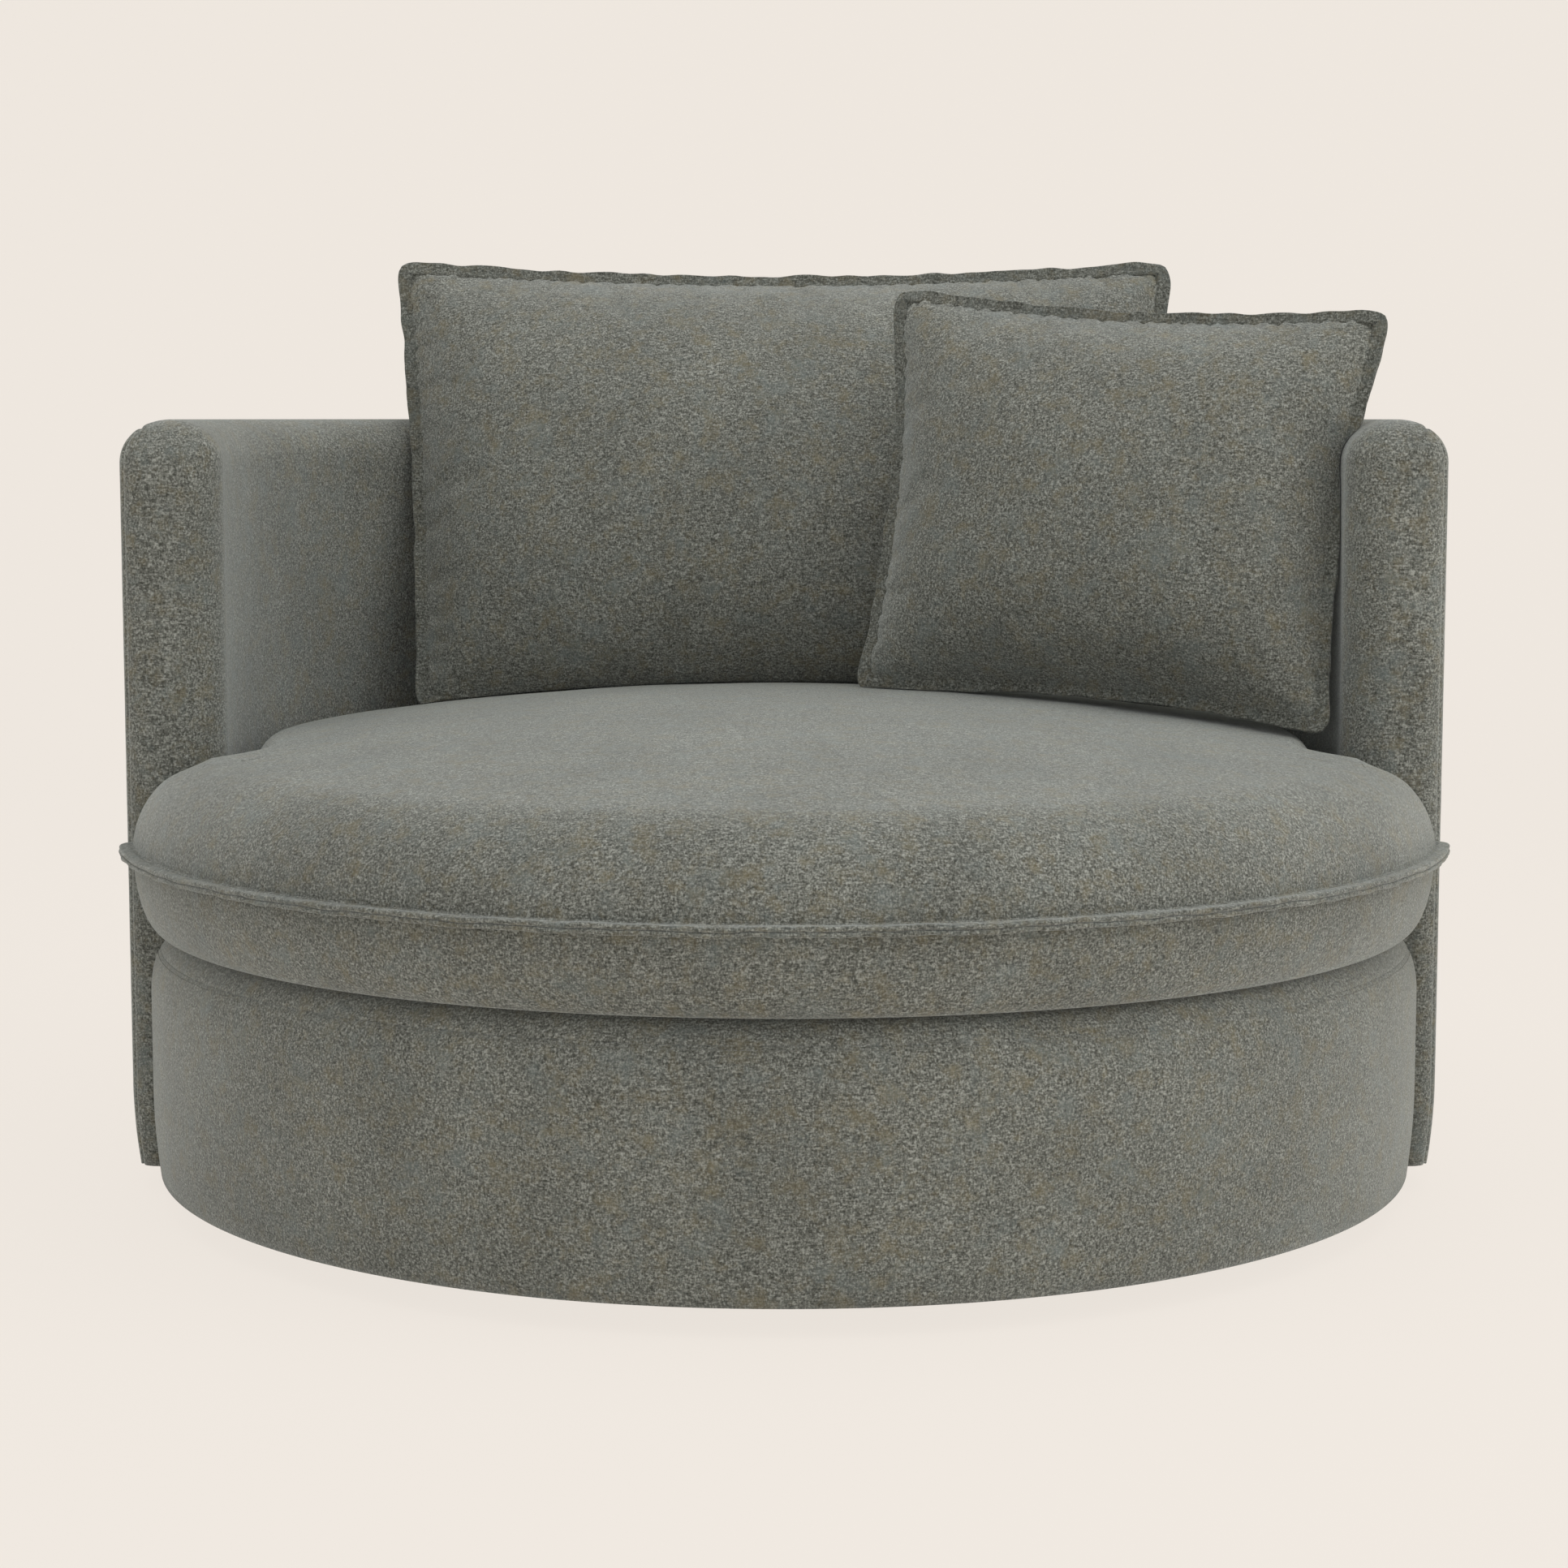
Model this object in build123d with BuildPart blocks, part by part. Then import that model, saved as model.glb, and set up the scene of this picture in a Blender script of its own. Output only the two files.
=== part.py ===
from build123d import *
from math import asin, atan2, cos, degrees, pi, radians, sin, sqrt, tan
import os

# Round swivel chair in millimetres. The origin is on the floor under the swivel axis, and the
# sitter faces -Y. A round drum and a barrel shell turn on a hidden base, and a round seat cushion,
# a back cushion and a throw pillow lie loose on them.

# Driving dimensions
drum_setback = 20
drum_shoulder_width = 35
drum_shoulder_height = 62
drum_foot_width = 5.5
drum_foot_height = 80
deck_height = 257
drum_seam_drop = 21

shell_radius = 620
shell_wall_thickness = 94
shell_height = 725
shell_crown_height = 40
shell_foot_width = 6
shell_foot_height = 80
arm_front = 100
arm_outer_corner = 25
arm_inner_corner = 42
arm_top_corner = 38
shell_seam_inset = 18

seat_setback = 6
seat_lower_height = 74
seat_lower_width = 24
seat_crown = 134
seat_edge_radius = 88
seat_ear_corner = 10
seat_notch_corner = 22
seat_flange_width = 13
flange_thickness = 5

back_top_half = 402
back_bottom_half = 372
back_half_height = 236
back_front_crown = 112
back_rear_crown = 104
back_corner = 26
back_top_bow = -17
back_side_bow = -7
back_wall_gap = 4.4
back_sink = 31.75
back_lean = 18

pillow_top_half = 240
pillow_bottom_half = 227
pillow_half_height = 196
pillow_crown = 88
pillow_corner = 22
pillow_top_bow = -14
pillow_side_bow = -16
pillow_flange_width = 12
pillow_wall_distance = 210
pillow_tuck = 76
pillow_sink = 13.3
pillow_yaw = 20
pillow_lean = 13
pillow_roll = 3.3

# Construction
cover_thickness = 2
drum_foam = 18
cushion_wrap = 24
board_thickness = 18
panel_thickness = 4
foam_inner = 22
foam_outer = 8
foam_front = 22
foam_top = 37
deck_pad_thickness = 20
webbing_thickness = 2
webbing_width = 60
webbing_pitch = 76
webbing_hold = 35
deck_ledge = 45
front_rail_thickness = 9
drum_post_size = 40
drum_post_count = 10
shell_post_width = 40
shell_post_count = 9
arm_board_thickness = 12
cover_lip = 36

# Swivel base
glide_radius = 30
glide_thickness = 3
glide_setback = 45
glide_count = 8
base_board_radius = 400
base_board_thickness = 12
base_board_chamfer = 2
plate_radius = 150
plate_thickness = 2.5
plate_gap = 7
ball_radius = 4
ball_count = 24
cage_thickness = 2
cage_half_width = 8
pin_radius = 10
pin_head_radius = 17
pin_head_height = 4
pin_end = 2.5
washer_radius = 18
washer_thickness = 2
nut_across = 30
nut_height = 9
screw_radius = 2.5
screw_head_radius = 5
screw_head_height = 2.5
screw_length = 15
plate_margin = 12
upper_screw_margin = 60
screw_count = 6
rail_screw_length = 34
post_screw_length = 45
staple_length = 12
staple_thickness = 0.8
drum_staple_count = 24
shell_staple_count = 36
dust_cover_thickness = 1.5

# Clearances, and one overrun for every cut
rest_gap = 0.3
side_gap = 1.5
arm_gap = 2
running_gap = 0.05
race_gap = 0.15
hole_gap = 0.2
flange_gap = 3
post_gap = 2
drum_post_gap = 10
cage_gap = 5
nut_gap = 7
overrun = 60

# Heights from the floor up
board_top = glide_thickness + base_board_thickness
plate_top = board_top + plate_thickness
upper_plate_bottom = plate_top + plate_gap
panel_bottom = upper_plate_bottom + plate_thickness
panel_top = panel_bottom + board_thickness
drum_bottom = panel_bottom - cover_thickness
drum_seam_height = deck_height - drum_seam_drop
pad_top = deck_height - cover_thickness
pad_bottom = pad_top - deck_pad_thickness
deck_frame_top = pad_bottom - 2 * webbing_thickness
deck_frame_bottom = deck_frame_top - board_thickness
seat_bottom = deck_height + rest_gap
seat_seam_height = seat_bottom + seat_lower_height
seat_top = seat_seam_height + seat_crown

# Radii of the shell's frame, and the line where the drum's wide front stops
shell_inner_radius = shell_radius - shell_wall_thickness
shell_half_thickness = shell_wall_thickness / 2
shell_crest_radius = shell_inner_radius + shell_half_thickness
frame_inner_radius = shell_inner_radius + cover_thickness + foam_inner
frame_outer_radius = shell_radius - cover_thickness - foam_outer
frame_front = arm_front - cover_thickness - foam_front
frame_top = shell_height - cover_thickness - foam_top
rail_inner_radius = frame_inner_radius + panel_thickness
rail_outer_radius = frame_outer_radius - panel_thickness
rail_front = frame_front - arm_board_thickness
rail_top = panel_top + board_thickness
top_rail_bottom = frame_top - board_thickness
shell_seam_radius = shell_radius - shell_seam_inset
arm_seam_front = arm_front - shell_seam_inset
drum_step = arm_front + arm_gap
drum_radius = shell_radius - drum_setback
drum_frame_radius = drum_radius - cover_thickness - drum_foam
drum_back_radius = shell_inner_radius - arm_gap
drum_post_radius = frame_inner_radius - drum_post_gap - drum_post_size / 2
deck_opening_radius = drum_post_radius - drum_post_size / 2 - deck_ledge
webbing_reach = deck_opening_radius + webbing_hold
seat_step = arm_front + arm_gap + seat_flange_width
seat_radius = shell_radius - seat_setback
seat_back_radius = shell_inner_radius - flange_gap - seat_flange_width
seat_plan_radius = seat_radius + rest_gap

# Rings of holes and places on the swivel base
glide_ring_radius = base_board_radius - glide_setback
lower_screw_ring = plate_radius - plate_margin
upper_screw_ring = plate_radius - upper_screw_margin
ball_ring_radius = lower_screw_ring - screw_head_radius - cage_gap - cage_half_width
pin_hole_radius = washer_radius + nut_gap

# Shares of a cushion's crown, of its seam's size and of its roundness, from the seam to the top
crown_shares = ((0, 1, 0), (0.4, 0.9, 0.15), (0.72, 0.7, 0.42), (0.92, 0.43, 0.75), (1, 0.17, 1))
round_bow_share = 0.16
round_corner_share = 0.7
corner_depth_share = 2**0.5 - 1

# How far the arm's top corner sets off from the plumb front, as a share of its rise
arm_break_share = 0.03

# A square that covers the whole plan, set behind or ahead of a line across the chair, and turns
cut_span = 3 * shell_radius
quarter_turn = 90
half_turn = 2 * quarter_turn
full_turn = 2 * half_turn
behind = (Align.CENTER, Align.MIN)
ahead = (Align.CENTER, Align.MAX)


def half_plane(front, height, depth):
    """A slab of space behind the line y = -front."""
    with BuildPart() as slab:
        with BuildSketch(Plane.XY.offset(height)):
            with Locations((0, -front)):
                Rectangle(cut_span, cut_span, align=behind)
        extrude(amount=depth)
    return slab.part


def disc(radius, bottom, top):
    """A round slab about the swivel axis."""
    with BuildPart() as slab:
        with BuildSketch(Plane.XY.offset(bottom)):
            Circle(radius)
        extrude(amount=top - bottom)
    return slab.part


def ring(inner, outer, bottom, top):
    """A ring about the swivel axis."""
    with BuildPart() as slab:
        with BuildSketch(Plane.XY.offset(bottom)):
            Circle(outer)
            Circle(inner, mode=Mode.SUBTRACT)
        extrude(amount=top - bottom)
    return slab.part


def tee_prism(front_radius, back_radius, step, corners, bottom, top):
    """A slab that is wide in front of the arms and narrower behind them, with rounded corners."""
    with BuildPart() as slab:
        with BuildSketch(Plane.XY.offset(bottom)) as plan:
            Circle(front_radius)
            with Locations((0, -step)):
                Rectangle(cut_span, cut_span, align=behind, mode=Mode.SUBTRACT)
            Circle(back_radius)
            if corners:
                ends = plan.vertices().filter_by_position(Axis.Y, -step - rest_gap, -step + rest_gap)
                fillet(ends.filter_by(lambda v: abs(v.X) > back_radius), corners[0])
                ends = plan.vertices().filter_by_position(Axis.Y, -step - rest_gap, -step + rest_gap)
                fillet(ends.filter_by(lambda v: abs(v.X) < back_radius), corners[1])
        extrude(amount=top - bottom)
    return slab.part


# Swivel base: glides, board, bearing plates with their balls, pin and screws
with BuildPart() as floor_glides:
    with BuildSketch():
        with PolarLocations(glide_ring_radius, glide_count):
            Circle(glide_radius)
    extrude(amount=glide_thickness)

with BuildPart() as base_board:
    with BuildSketch(Plane.XY.offset(glide_thickness)):
        Circle(base_board_radius)
    extrude(amount=base_board_thickness)
    chamfer(base_board.edges().group_by(Axis.Z)[-1], base_board_chamfer)
    with Locations(Plane.XY.offset(board_top)):
        Hole(pin_radius + hole_gap)
        with PolarLocations(lower_screw_ring, screw_count):
            Hole(screw_radius + hole_gap, depth=screw_length - plate_thickness - screw_head_height)
    with BuildSketch(Plane.XY.offset(glide_thickness)):
        Circle(pin_head_radius + hole_gap)
    extrude(amount=pin_head_height, mode=Mode.SUBTRACT)

board_floor = glide_thickness + hole_gap
with BuildPart() as swivel_pin:
    with BuildSketch(Plane.XY.offset(board_floor)):
        Circle(pin_head_radius)
    extrude(amount=pin_head_height - hole_gap)
    with BuildSketch(Plane.XY.offset(board_floor)):
        Circle(pin_radius)
    extrude(amount=panel_bottom + washer_thickness + nut_height + pin_end - board_floor)

race_height = (plate_top + upper_plate_bottom) / 2
with BuildPart() as race:
    with BuildSketch(Plane.XZ):
        with Locations((ball_ring_radius, race_height)):
            Circle(ball_radius + race_gap)
    revolve(axis=Axis.Z)

with BuildPart() as swivel_lower_plate:
    with BuildSketch(Plane.XY.offset(board_top)):
        Circle(plate_radius)
        Circle(pin_radius + hole_gap, mode=Mode.SUBTRACT)
        with PolarLocations(lower_screw_ring, screw_count):
            Circle(screw_radius + hole_gap, mode=Mode.SUBTRACT)
    extrude(amount=plate_thickness)
    add(race.part, mode=Mode.SUBTRACT)

with BuildPart() as swivel_upper_plate:
    with BuildSketch(Plane.XY.offset(upper_plate_bottom)):
        Circle(plate_radius)
        Circle(pin_radius + running_gap, mode=Mode.SUBTRACT)
        with PolarLocations(upper_screw_ring, screw_count):
            Circle(screw_radius + hole_gap, mode=Mode.SUBTRACT)
    extrude(amount=plate_thickness)
    add(race.part, mode=Mode.SUBTRACT)

with BuildPart() as bearing_balls:
    with Locations(Plane.XY.offset(race_height)):
        with PolarLocations(ball_ring_radius, ball_count):
            Sphere(ball_radius)

with BuildPart() as ball_cage:
    with BuildSketch(Plane.XY.offset(race_height - cage_thickness / 2)):
        Circle(ball_ring_radius + cage_half_width)
        Circle(ball_ring_radius - cage_half_width, mode=Mode.SUBTRACT)
        with PolarLocations(ball_ring_radius, ball_count):
            Circle(ball_radius + race_gap, mode=Mode.SUBTRACT)
    extrude(amount=cage_thickness)

with BuildPart() as lower_plate_screws:
    with BuildSketch(Plane.XY.offset(plate_top + screw_head_height - screw_length)):
        with PolarLocations(lower_screw_ring, screw_count):
            Circle(screw_radius)
    extrude(amount=screw_length)
    with BuildSketch(Plane.XY.offset(plate_top)):
        with PolarLocations(lower_screw_ring, screw_count):
            Circle(screw_head_radius)
    extrude(amount=screw_head_height)

with BuildPart() as upper_plate_screws:
    with BuildSketch(Plane.XY.offset(upper_plate_bottom - screw_head_height)):
        with PolarLocations(upper_screw_ring, screw_count):
            Circle(screw_radius)
    extrude(amount=screw_length)
    with BuildSketch(Plane.XY.offset(upper_plate_bottom - screw_head_height)):
        with PolarLocations(upper_screw_ring, screw_count):
            Circle(screw_head_radius)
    extrude(amount=screw_head_height)

washer_bottom = panel_bottom + running_gap
with BuildPart() as pin_washer:
    with BuildSketch(Plane.XY.offset(washer_bottom)):
        Circle(washer_radius)
        Circle(pin_radius, mode=Mode.SUBTRACT)
    extrude(amount=washer_thickness)

with BuildPart() as pin_nut:
    with BuildSketch(Plane.XY.offset(washer_bottom + washer_thickness)):
        RegularPolygon(nut_across / 2, 6, major_radius=False)
        Circle(pin_radius, mode=Mode.SUBTRACT)
    extrude(amount=nut_height)

# Frame of the drum: bottom panel, posts, bent front rail and the ring that carries the webbing
shell_ring_radius = (rail_inner_radius + rail_outer_radius) / 2
post_start = -degrees(asin((rail_front - shell_post_width) / shell_ring_radius))
post_span = half_turn - 2 * post_start
post_pitch = post_span / (shell_post_count - 1)


def post_places():
    """Places of the shell's posts, from arm to arm."""
    return PolarLocations(shell_ring_radius, shell_post_count, post_start, post_span, endpoint=True)


def screw_places():
    """Places midway between the shell's posts."""
    start = post_start + post_pitch / 2
    span = post_span - post_pitch
    return PolarLocations(shell_ring_radius, shell_post_count - 1, start, span, endpoint=True)


with BuildPart() as bottom_panel:
    add(disc(frame_outer_radius, panel_bottom, panel_top))
    add(half_plane(frame_front, panel_bottom, board_thickness), mode=Mode.INTERSECT)
    add(tee_prism(drum_frame_radius, frame_inner_radius, drum_step, None, panel_bottom, panel_top))
    with BuildSketch(Plane.XY.offset(panel_bottom)):
        Circle(pin_hole_radius)
        with PolarLocations(upper_screw_ring, screw_count):
            Circle(screw_radius + hole_gap)
        with screw_places():
            Circle(screw_radius + hole_gap)
    extrude(amount=board_thickness, mode=Mode.SUBTRACT)

with BuildPart() as drum_posts:
    with BuildSketch(Plane.XY.offset(panel_top)):
        with PolarLocations(drum_post_radius, drum_post_count):
            Rectangle(drum_post_size, drum_post_size)
    extrude(amount=deck_frame_bottom - panel_top)
    with BuildSketch(Plane.XY.offset(deck_frame_top - post_screw_length)):
        with PolarLocations(drum_post_radius, drum_post_count):
            Circle(screw_radius + hole_gap)
    extrude(amount=post_screw_length, mode=Mode.SUBTRACT)

with BuildPart() as front_rail:
    add(ring(drum_frame_radius - front_rail_thickness, drum_frame_radius, panel_top, deck_frame_bottom))
    add(half_plane(drum_step, 0, shell_height), mode=Mode.SUBTRACT)

with BuildPart() as deck_ring:
    add(tee_prism(drum_frame_radius, frame_inner_radius, drum_step, None, deck_frame_bottom, deck_frame_top))
    with BuildSketch(Plane.XY.offset(deck_frame_bottom)):
        Circle(deck_opening_radius)
        with PolarLocations(drum_post_radius, drum_post_count):
            Circle(screw_radius + hole_gap)
    extrude(amount=board_thickness, mode=Mode.SUBTRACT)
    with BuildSketch(Plane.XY.offset(deck_frame_top - screw_head_height)):
        with PolarLocations(drum_post_radius, drum_post_count):
            Circle(screw_head_radius + hole_gap)
    extrude(amount=screw_head_height, mode=Mode.SUBTRACT)

with BuildPart() as deck_screws:
    with BuildSketch(Plane.XY.offset(deck_frame_top - post_screw_length)):
        with PolarLocations(drum_post_radius, drum_post_count):
            Circle(screw_radius)
    extrude(amount=post_screw_length)
    with BuildSketch(Plane.XY.offset(deck_frame_top - screw_head_height)):
        with PolarLocations(drum_post_radius, drum_post_count):
            Circle(screw_head_radius)
    extrude(amount=screw_head_height)

strap_count = int(2 * deck_opening_radius // webbing_pitch)
with BuildPart() as webbing_across:
    with BuildSketch(Plane.XY.offset(deck_frame_top)):
        with GridLocations(webbing_pitch, webbing_pitch, 1, strap_count):
            Rectangle(2 * webbing_reach, webbing_width)
        Circle(webbing_reach, mode=Mode.INTERSECT)
    extrude(amount=webbing_thickness)

with BuildPart() as webbing_lengthwise:
    with BuildSketch(Plane.XY.offset(deck_frame_top + webbing_thickness)):
        with GridLocations(webbing_pitch, webbing_pitch, strap_count, 1):
            Rectangle(webbing_width, 2 * webbing_reach)
        Circle(webbing_reach, mode=Mode.INTERSECT)
    extrude(amount=webbing_thickness)


# Upholstery of the drum: side foam, deck pad, side band, deck cover, dust cover and staples
def drum_solid(inset, bottom):
    """The drum's padded outside, a full round moved inwards by inset, from a given height up."""
    shoulder_foot = deck_height - drum_shoulder_height
    side = drum_radius - inset
    with BuildPart() as body:
        with BuildSketch(Plane.XZ):
            with BuildLine():
                foot_top = (side, drum_bottom + drum_foot_height)
                TangentArc(foot_top, (side - drum_foot_width, drum_bottom), tangent=(0, -1))
                Line((side - drum_foot_width, drum_bottom), (0, drum_bottom))
                Line((0, drum_bottom), (0, deck_height - inset))
                Line((0, deck_height - inset), (drum_radius - drum_shoulder_width, deck_height - inset))
                EllipticalCenterArc(
                    (drum_radius - drum_shoulder_width, shoulder_foot),
                    drum_shoulder_width - inset,
                    drum_shoulder_height - inset,
                    arc_size=quarter_turn,
                )
                Line((side, shoulder_foot), foot_top)
            make_face()
        revolve(axis=Axis.Z)
        add(disc(drum_radius + overrun, drum_bottom - overrun, bottom), mode=Mode.SUBTRACT)
    return body.part


drum_outside = drum_solid(0, drum_bottom)
drum_lining = drum_solid(cover_thickness, panel_bottom)
deck_room = tee_prism(drum_radius + overrun, drum_back_radius, drum_step, None, drum_bottom, shell_height)
pad_radius = drum_radius - drum_shoulder_width

with BuildPart() as drum_side_foam:
    add(drum_lining)
    add(deck_room, mode=Mode.INTERSECT)
    add(disc(drum_frame_radius, drum_bottom, deck_frame_top), mode=Mode.SUBTRACT)
    add(disc(pad_radius, drum_bottom, shell_height), mode=Mode.SUBTRACT)

with BuildPart() as deck_pad:
    add(disc(pad_radius, pad_bottom, pad_top))
    add(deck_room, mode=Mode.INTERSECT)

with BuildPart() as drum_skin:
    add(drum_outside)
    add(drum_lining, mode=Mode.SUBTRACT)
    add(deck_room, mode=Mode.INTERSECT)

lip_radius = drum_frame_radius - cover_lip
with BuildPart() as drum_side_cover:
    add(drum_skin.part)
    add(disc(drum_radius + overrun, drum_seam_height, shell_height), mode=Mode.SUBTRACT)
    add(disc(lip_radius, drum_bottom - overrun, panel_top), mode=Mode.SUBTRACT)

with BuildPart() as deck_cover:
    add(drum_skin.part)
    add(disc(drum_radius + overrun, drum_bottom - overrun, drum_seam_height), mode=Mode.SUBTRACT)

with BuildPart() as dust_cover:
    add(ring(plate_radius + arm_gap, lip_radius - arm_gap, panel_bottom - dust_cover_thickness, panel_bottom))


def staple_places(radius, count, start, end):
    """Places of the staples along an arc, between two angles."""
    return PolarLocations(radius, count, start, end - start, endpoint=True)


drum_staple_ring = lip_radius + cover_lip / 2
drum_staple_start = half_turn + degrees(asin((drum_step + cover_lip) / drum_staple_ring))
shell_staple_ring = frame_outer_radius - cover_lip / 2
drum_staple_end = full_turn + half_turn - drum_staple_start
shell_staple_start = -degrees(asin((arm_seam_front - cover_lip) / shell_staple_ring))
shell_staple_end = half_turn - shell_staple_start
with BuildPart() as cover_staples:
    with BuildSketch(Plane.XY.offset(drum_bottom - staple_thickness)):
        with staple_places(drum_staple_ring, drum_staple_count, drum_staple_start, drum_staple_end):
            Rectangle(staple_thickness, staple_length)
        with staple_places(shell_staple_ring, shell_staple_count, shell_staple_start, shell_staple_end):
            Rectangle(staple_thickness, staple_length)
    extrude(amount=staple_thickness)


# Barrel shell: foam and covers over a frame of rails, posts, boards and bent panels
def shell_solid(inset, bottom):
    """The shell's padded outside, moved inwards by inset: a bullnosed ring cut off at the arms."""
    inner = shell_inner_radius + inset
    outer = shell_radius - inset
    crown_foot = shell_height - shell_crown_height
    with BuildPart() as body:
        with BuildSketch(Plane.XZ):
            with BuildLine():
                foot_top = (outer, drum_bottom + shell_foot_height)
                TangentArc(foot_top, (outer - shell_foot_width, drum_bottom), tangent=(0, -1))
                Line((outer - shell_foot_width, drum_bottom), (inner, drum_bottom))
                Line((inner, drum_bottom), (inner, crown_foot))
                EllipticalCenterArc(
                    (shell_crest_radius, crown_foot),
                    shell_half_thickness - inset,
                    shell_crown_height - inset,
                    arc_size=half_turn,
                )
                Line((outer, crown_foot), foot_top)
            make_face()
        revolve(axis=Axis.Z)
        with BuildSketch(Plane.XY.offset(bottom)) as plan:
            Circle(outer)
            Circle(inner, mode=Mode.SUBTRACT)
            front = inset - arm_front
            with Locations((0, front)):
                Rectangle(cut_span, cut_span, align=ahead, mode=Mode.SUBTRACT)
            ends = plan.vertices().filter_by_position(Axis.Y, front - rest_gap, front + rest_gap)
            fillet(ends.filter_by(lambda v: abs(v.X) > shell_crest_radius), arm_outer_corner - inset)
            ends = plan.vertices().filter_by_position(Axis.Y, front - rest_gap, front + rest_gap)
            fillet(ends.filter_by(lambda v: abs(v.X) < shell_crest_radius), arm_inner_corner - inset)
        extrude(amount=shell_height, mode=Mode.INTERSECT)
        with BuildSketch(Plane.YZ):
            with BuildLine():
                top = shell_height - inset
                corner = arm_top_corner - inset
                Line((front, drum_bottom - overrun), (front, top - corner))
                TangentArc((front, top - corner), (front + corner, top), tangent=(arm_break_share, 1))
                Line((front + corner, top), (shell_radius + overrun, top + overrun))
                Line((shell_radius + overrun, top + overrun), (shell_radius + overrun, drum_bottom - overrun))
                Line((shell_radius + overrun, drum_bottom - overrun), (front, drum_bottom - overrun))
            make_face()
        extrude(amount=shell_radius + overrun, both=True, mode=Mode.INTERSECT)
    return body.part


shell_outside = shell_solid(0, drum_bottom)
shell_lining = shell_solid(cover_thickness, panel_bottom)
below_deck = disc(frame_inner_radius, drum_bottom - overrun, deck_frame_top)

with BuildPart() as shell_foam:
    add(shell_lining)
    add(below_deck, mode=Mode.SUBTRACT)
    with BuildSketch(Plane.XY.offset(drum_bottom)):
        Circle(frame_outer_radius)
        Circle(frame_inner_radius, mode=Mode.SUBTRACT)
        with Locations((0, -frame_front)):
            Rectangle(cut_span, cut_span, align=ahead, mode=Mode.SUBTRACT)
    extrude(amount=frame_top - drum_bottom, mode=Mode.SUBTRACT)

seam_zone_bottom = drum_bottom - overrun
with BuildPart() as seam_zone:
    add(ring(shell_seam_radius, shell_radius + overrun, seam_zone_bottom, shell_height + overrun))
    add(disc(shell_radius + overrun, seam_zone_bottom, panel_bottom))
    add(half_plane(arm_seam_front, seam_zone_bottom, 2 * shell_height), mode=Mode.INTERSECT)

with BuildPart() as shell_skin:
    add(shell_outside)
    add(shell_lining, mode=Mode.SUBTRACT)
    add(disc(frame_outer_radius - cover_lip, seam_zone_bottom, panel_bottom), mode=Mode.SUBTRACT)

with BuildPart() as shell_outer_cover:
    add(shell_skin.part)
    add(seam_zone.part, mode=Mode.INTERSECT)

with BuildPart() as shell_inner_cover:
    add(shell_skin.part)
    add(seam_zone.part, mode=Mode.SUBTRACT)
    add(below_deck, mode=Mode.SUBTRACT)


def curved_board(inner, outer, front, bottom, top):
    """A board bent round the shell, cut off square at the arms."""
    with BuildPart() as board:
        add(ring(inner, outer, bottom, top))
        add(half_plane(front, bottom - overrun, top + overrun), mode=Mode.INTERSECT)
    return board.part


with BuildPart() as shell_inner_panel:
    add(curved_board(frame_inner_radius, rail_inner_radius, rail_front, panel_top, frame_top))

with BuildPart() as shell_outer_panel:
    add(curved_board(rail_outer_radius, frame_outer_radius, rail_front, panel_top, frame_top))

with BuildPart() as arm_end_boards:
    add(curved_board(frame_inner_radius, frame_outer_radius, frame_front, panel_top, frame_top))
    add(half_plane(rail_front, 0, shell_height), mode=Mode.SUBTRACT)

with BuildPart() as shell_bottom_rail:
    add(curved_board(rail_inner_radius, rail_outer_radius, rail_front, panel_top, rail_top))
    with BuildSketch(Plane.XY.offset(panel_top)):
        with screw_places():
            Circle(screw_radius + hole_gap)
    extrude(amount=board_thickness, mode=Mode.SUBTRACT)

with BuildPart() as shell_posts:
    with BuildSketch(Plane.XY.offset(rail_top)):
        with post_places():
            Rectangle(rail_outer_radius - rail_inner_radius - 2 * post_gap, shell_post_width)
    extrude(amount=top_rail_bottom - rail_top)
    with BuildSketch(Plane.XY.offset(frame_top - post_screw_length)):
        with post_places():
            Circle(screw_radius + hole_gap)
    extrude(amount=post_screw_length, mode=Mode.SUBTRACT)

with BuildPart() as shell_top_rail:
    add(curved_board(rail_inner_radius, rail_outer_radius, rail_front, top_rail_bottom, frame_top))
    with BuildSketch(Plane.XY.offset(top_rail_bottom)):
        with post_places():
            Circle(screw_radius + hole_gap)
    extrude(amount=board_thickness, mode=Mode.SUBTRACT)
    with BuildSketch(Plane.XY.offset(frame_top - screw_head_height)):
        with post_places():
            Circle(screw_head_radius + hole_gap)
    extrude(amount=screw_head_height, mode=Mode.SUBTRACT)

with BuildPart() as top_rail_screws:
    with BuildSketch(Plane.XY.offset(frame_top - post_screw_length)):
        with post_places():
            Circle(screw_radius)
    extrude(amount=post_screw_length)
    with BuildSketch(Plane.XY.offset(frame_top - screw_head_height)):
        with post_places():
            Circle(screw_head_radius)
    extrude(amount=screw_head_height)

with BuildPart() as bottom_rail_screws:
    with BuildSketch(Plane.XY.offset(rail_top + screw_head_height - rail_screw_length)):
        with screw_places():
            Circle(screw_radius)
    extrude(amount=rail_screw_length)
    with BuildSketch(Plane.XY.offset(rail_top)):
        with screw_places():
            Circle(screw_head_radius)
    extrude(amount=screw_head_height)


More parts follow.
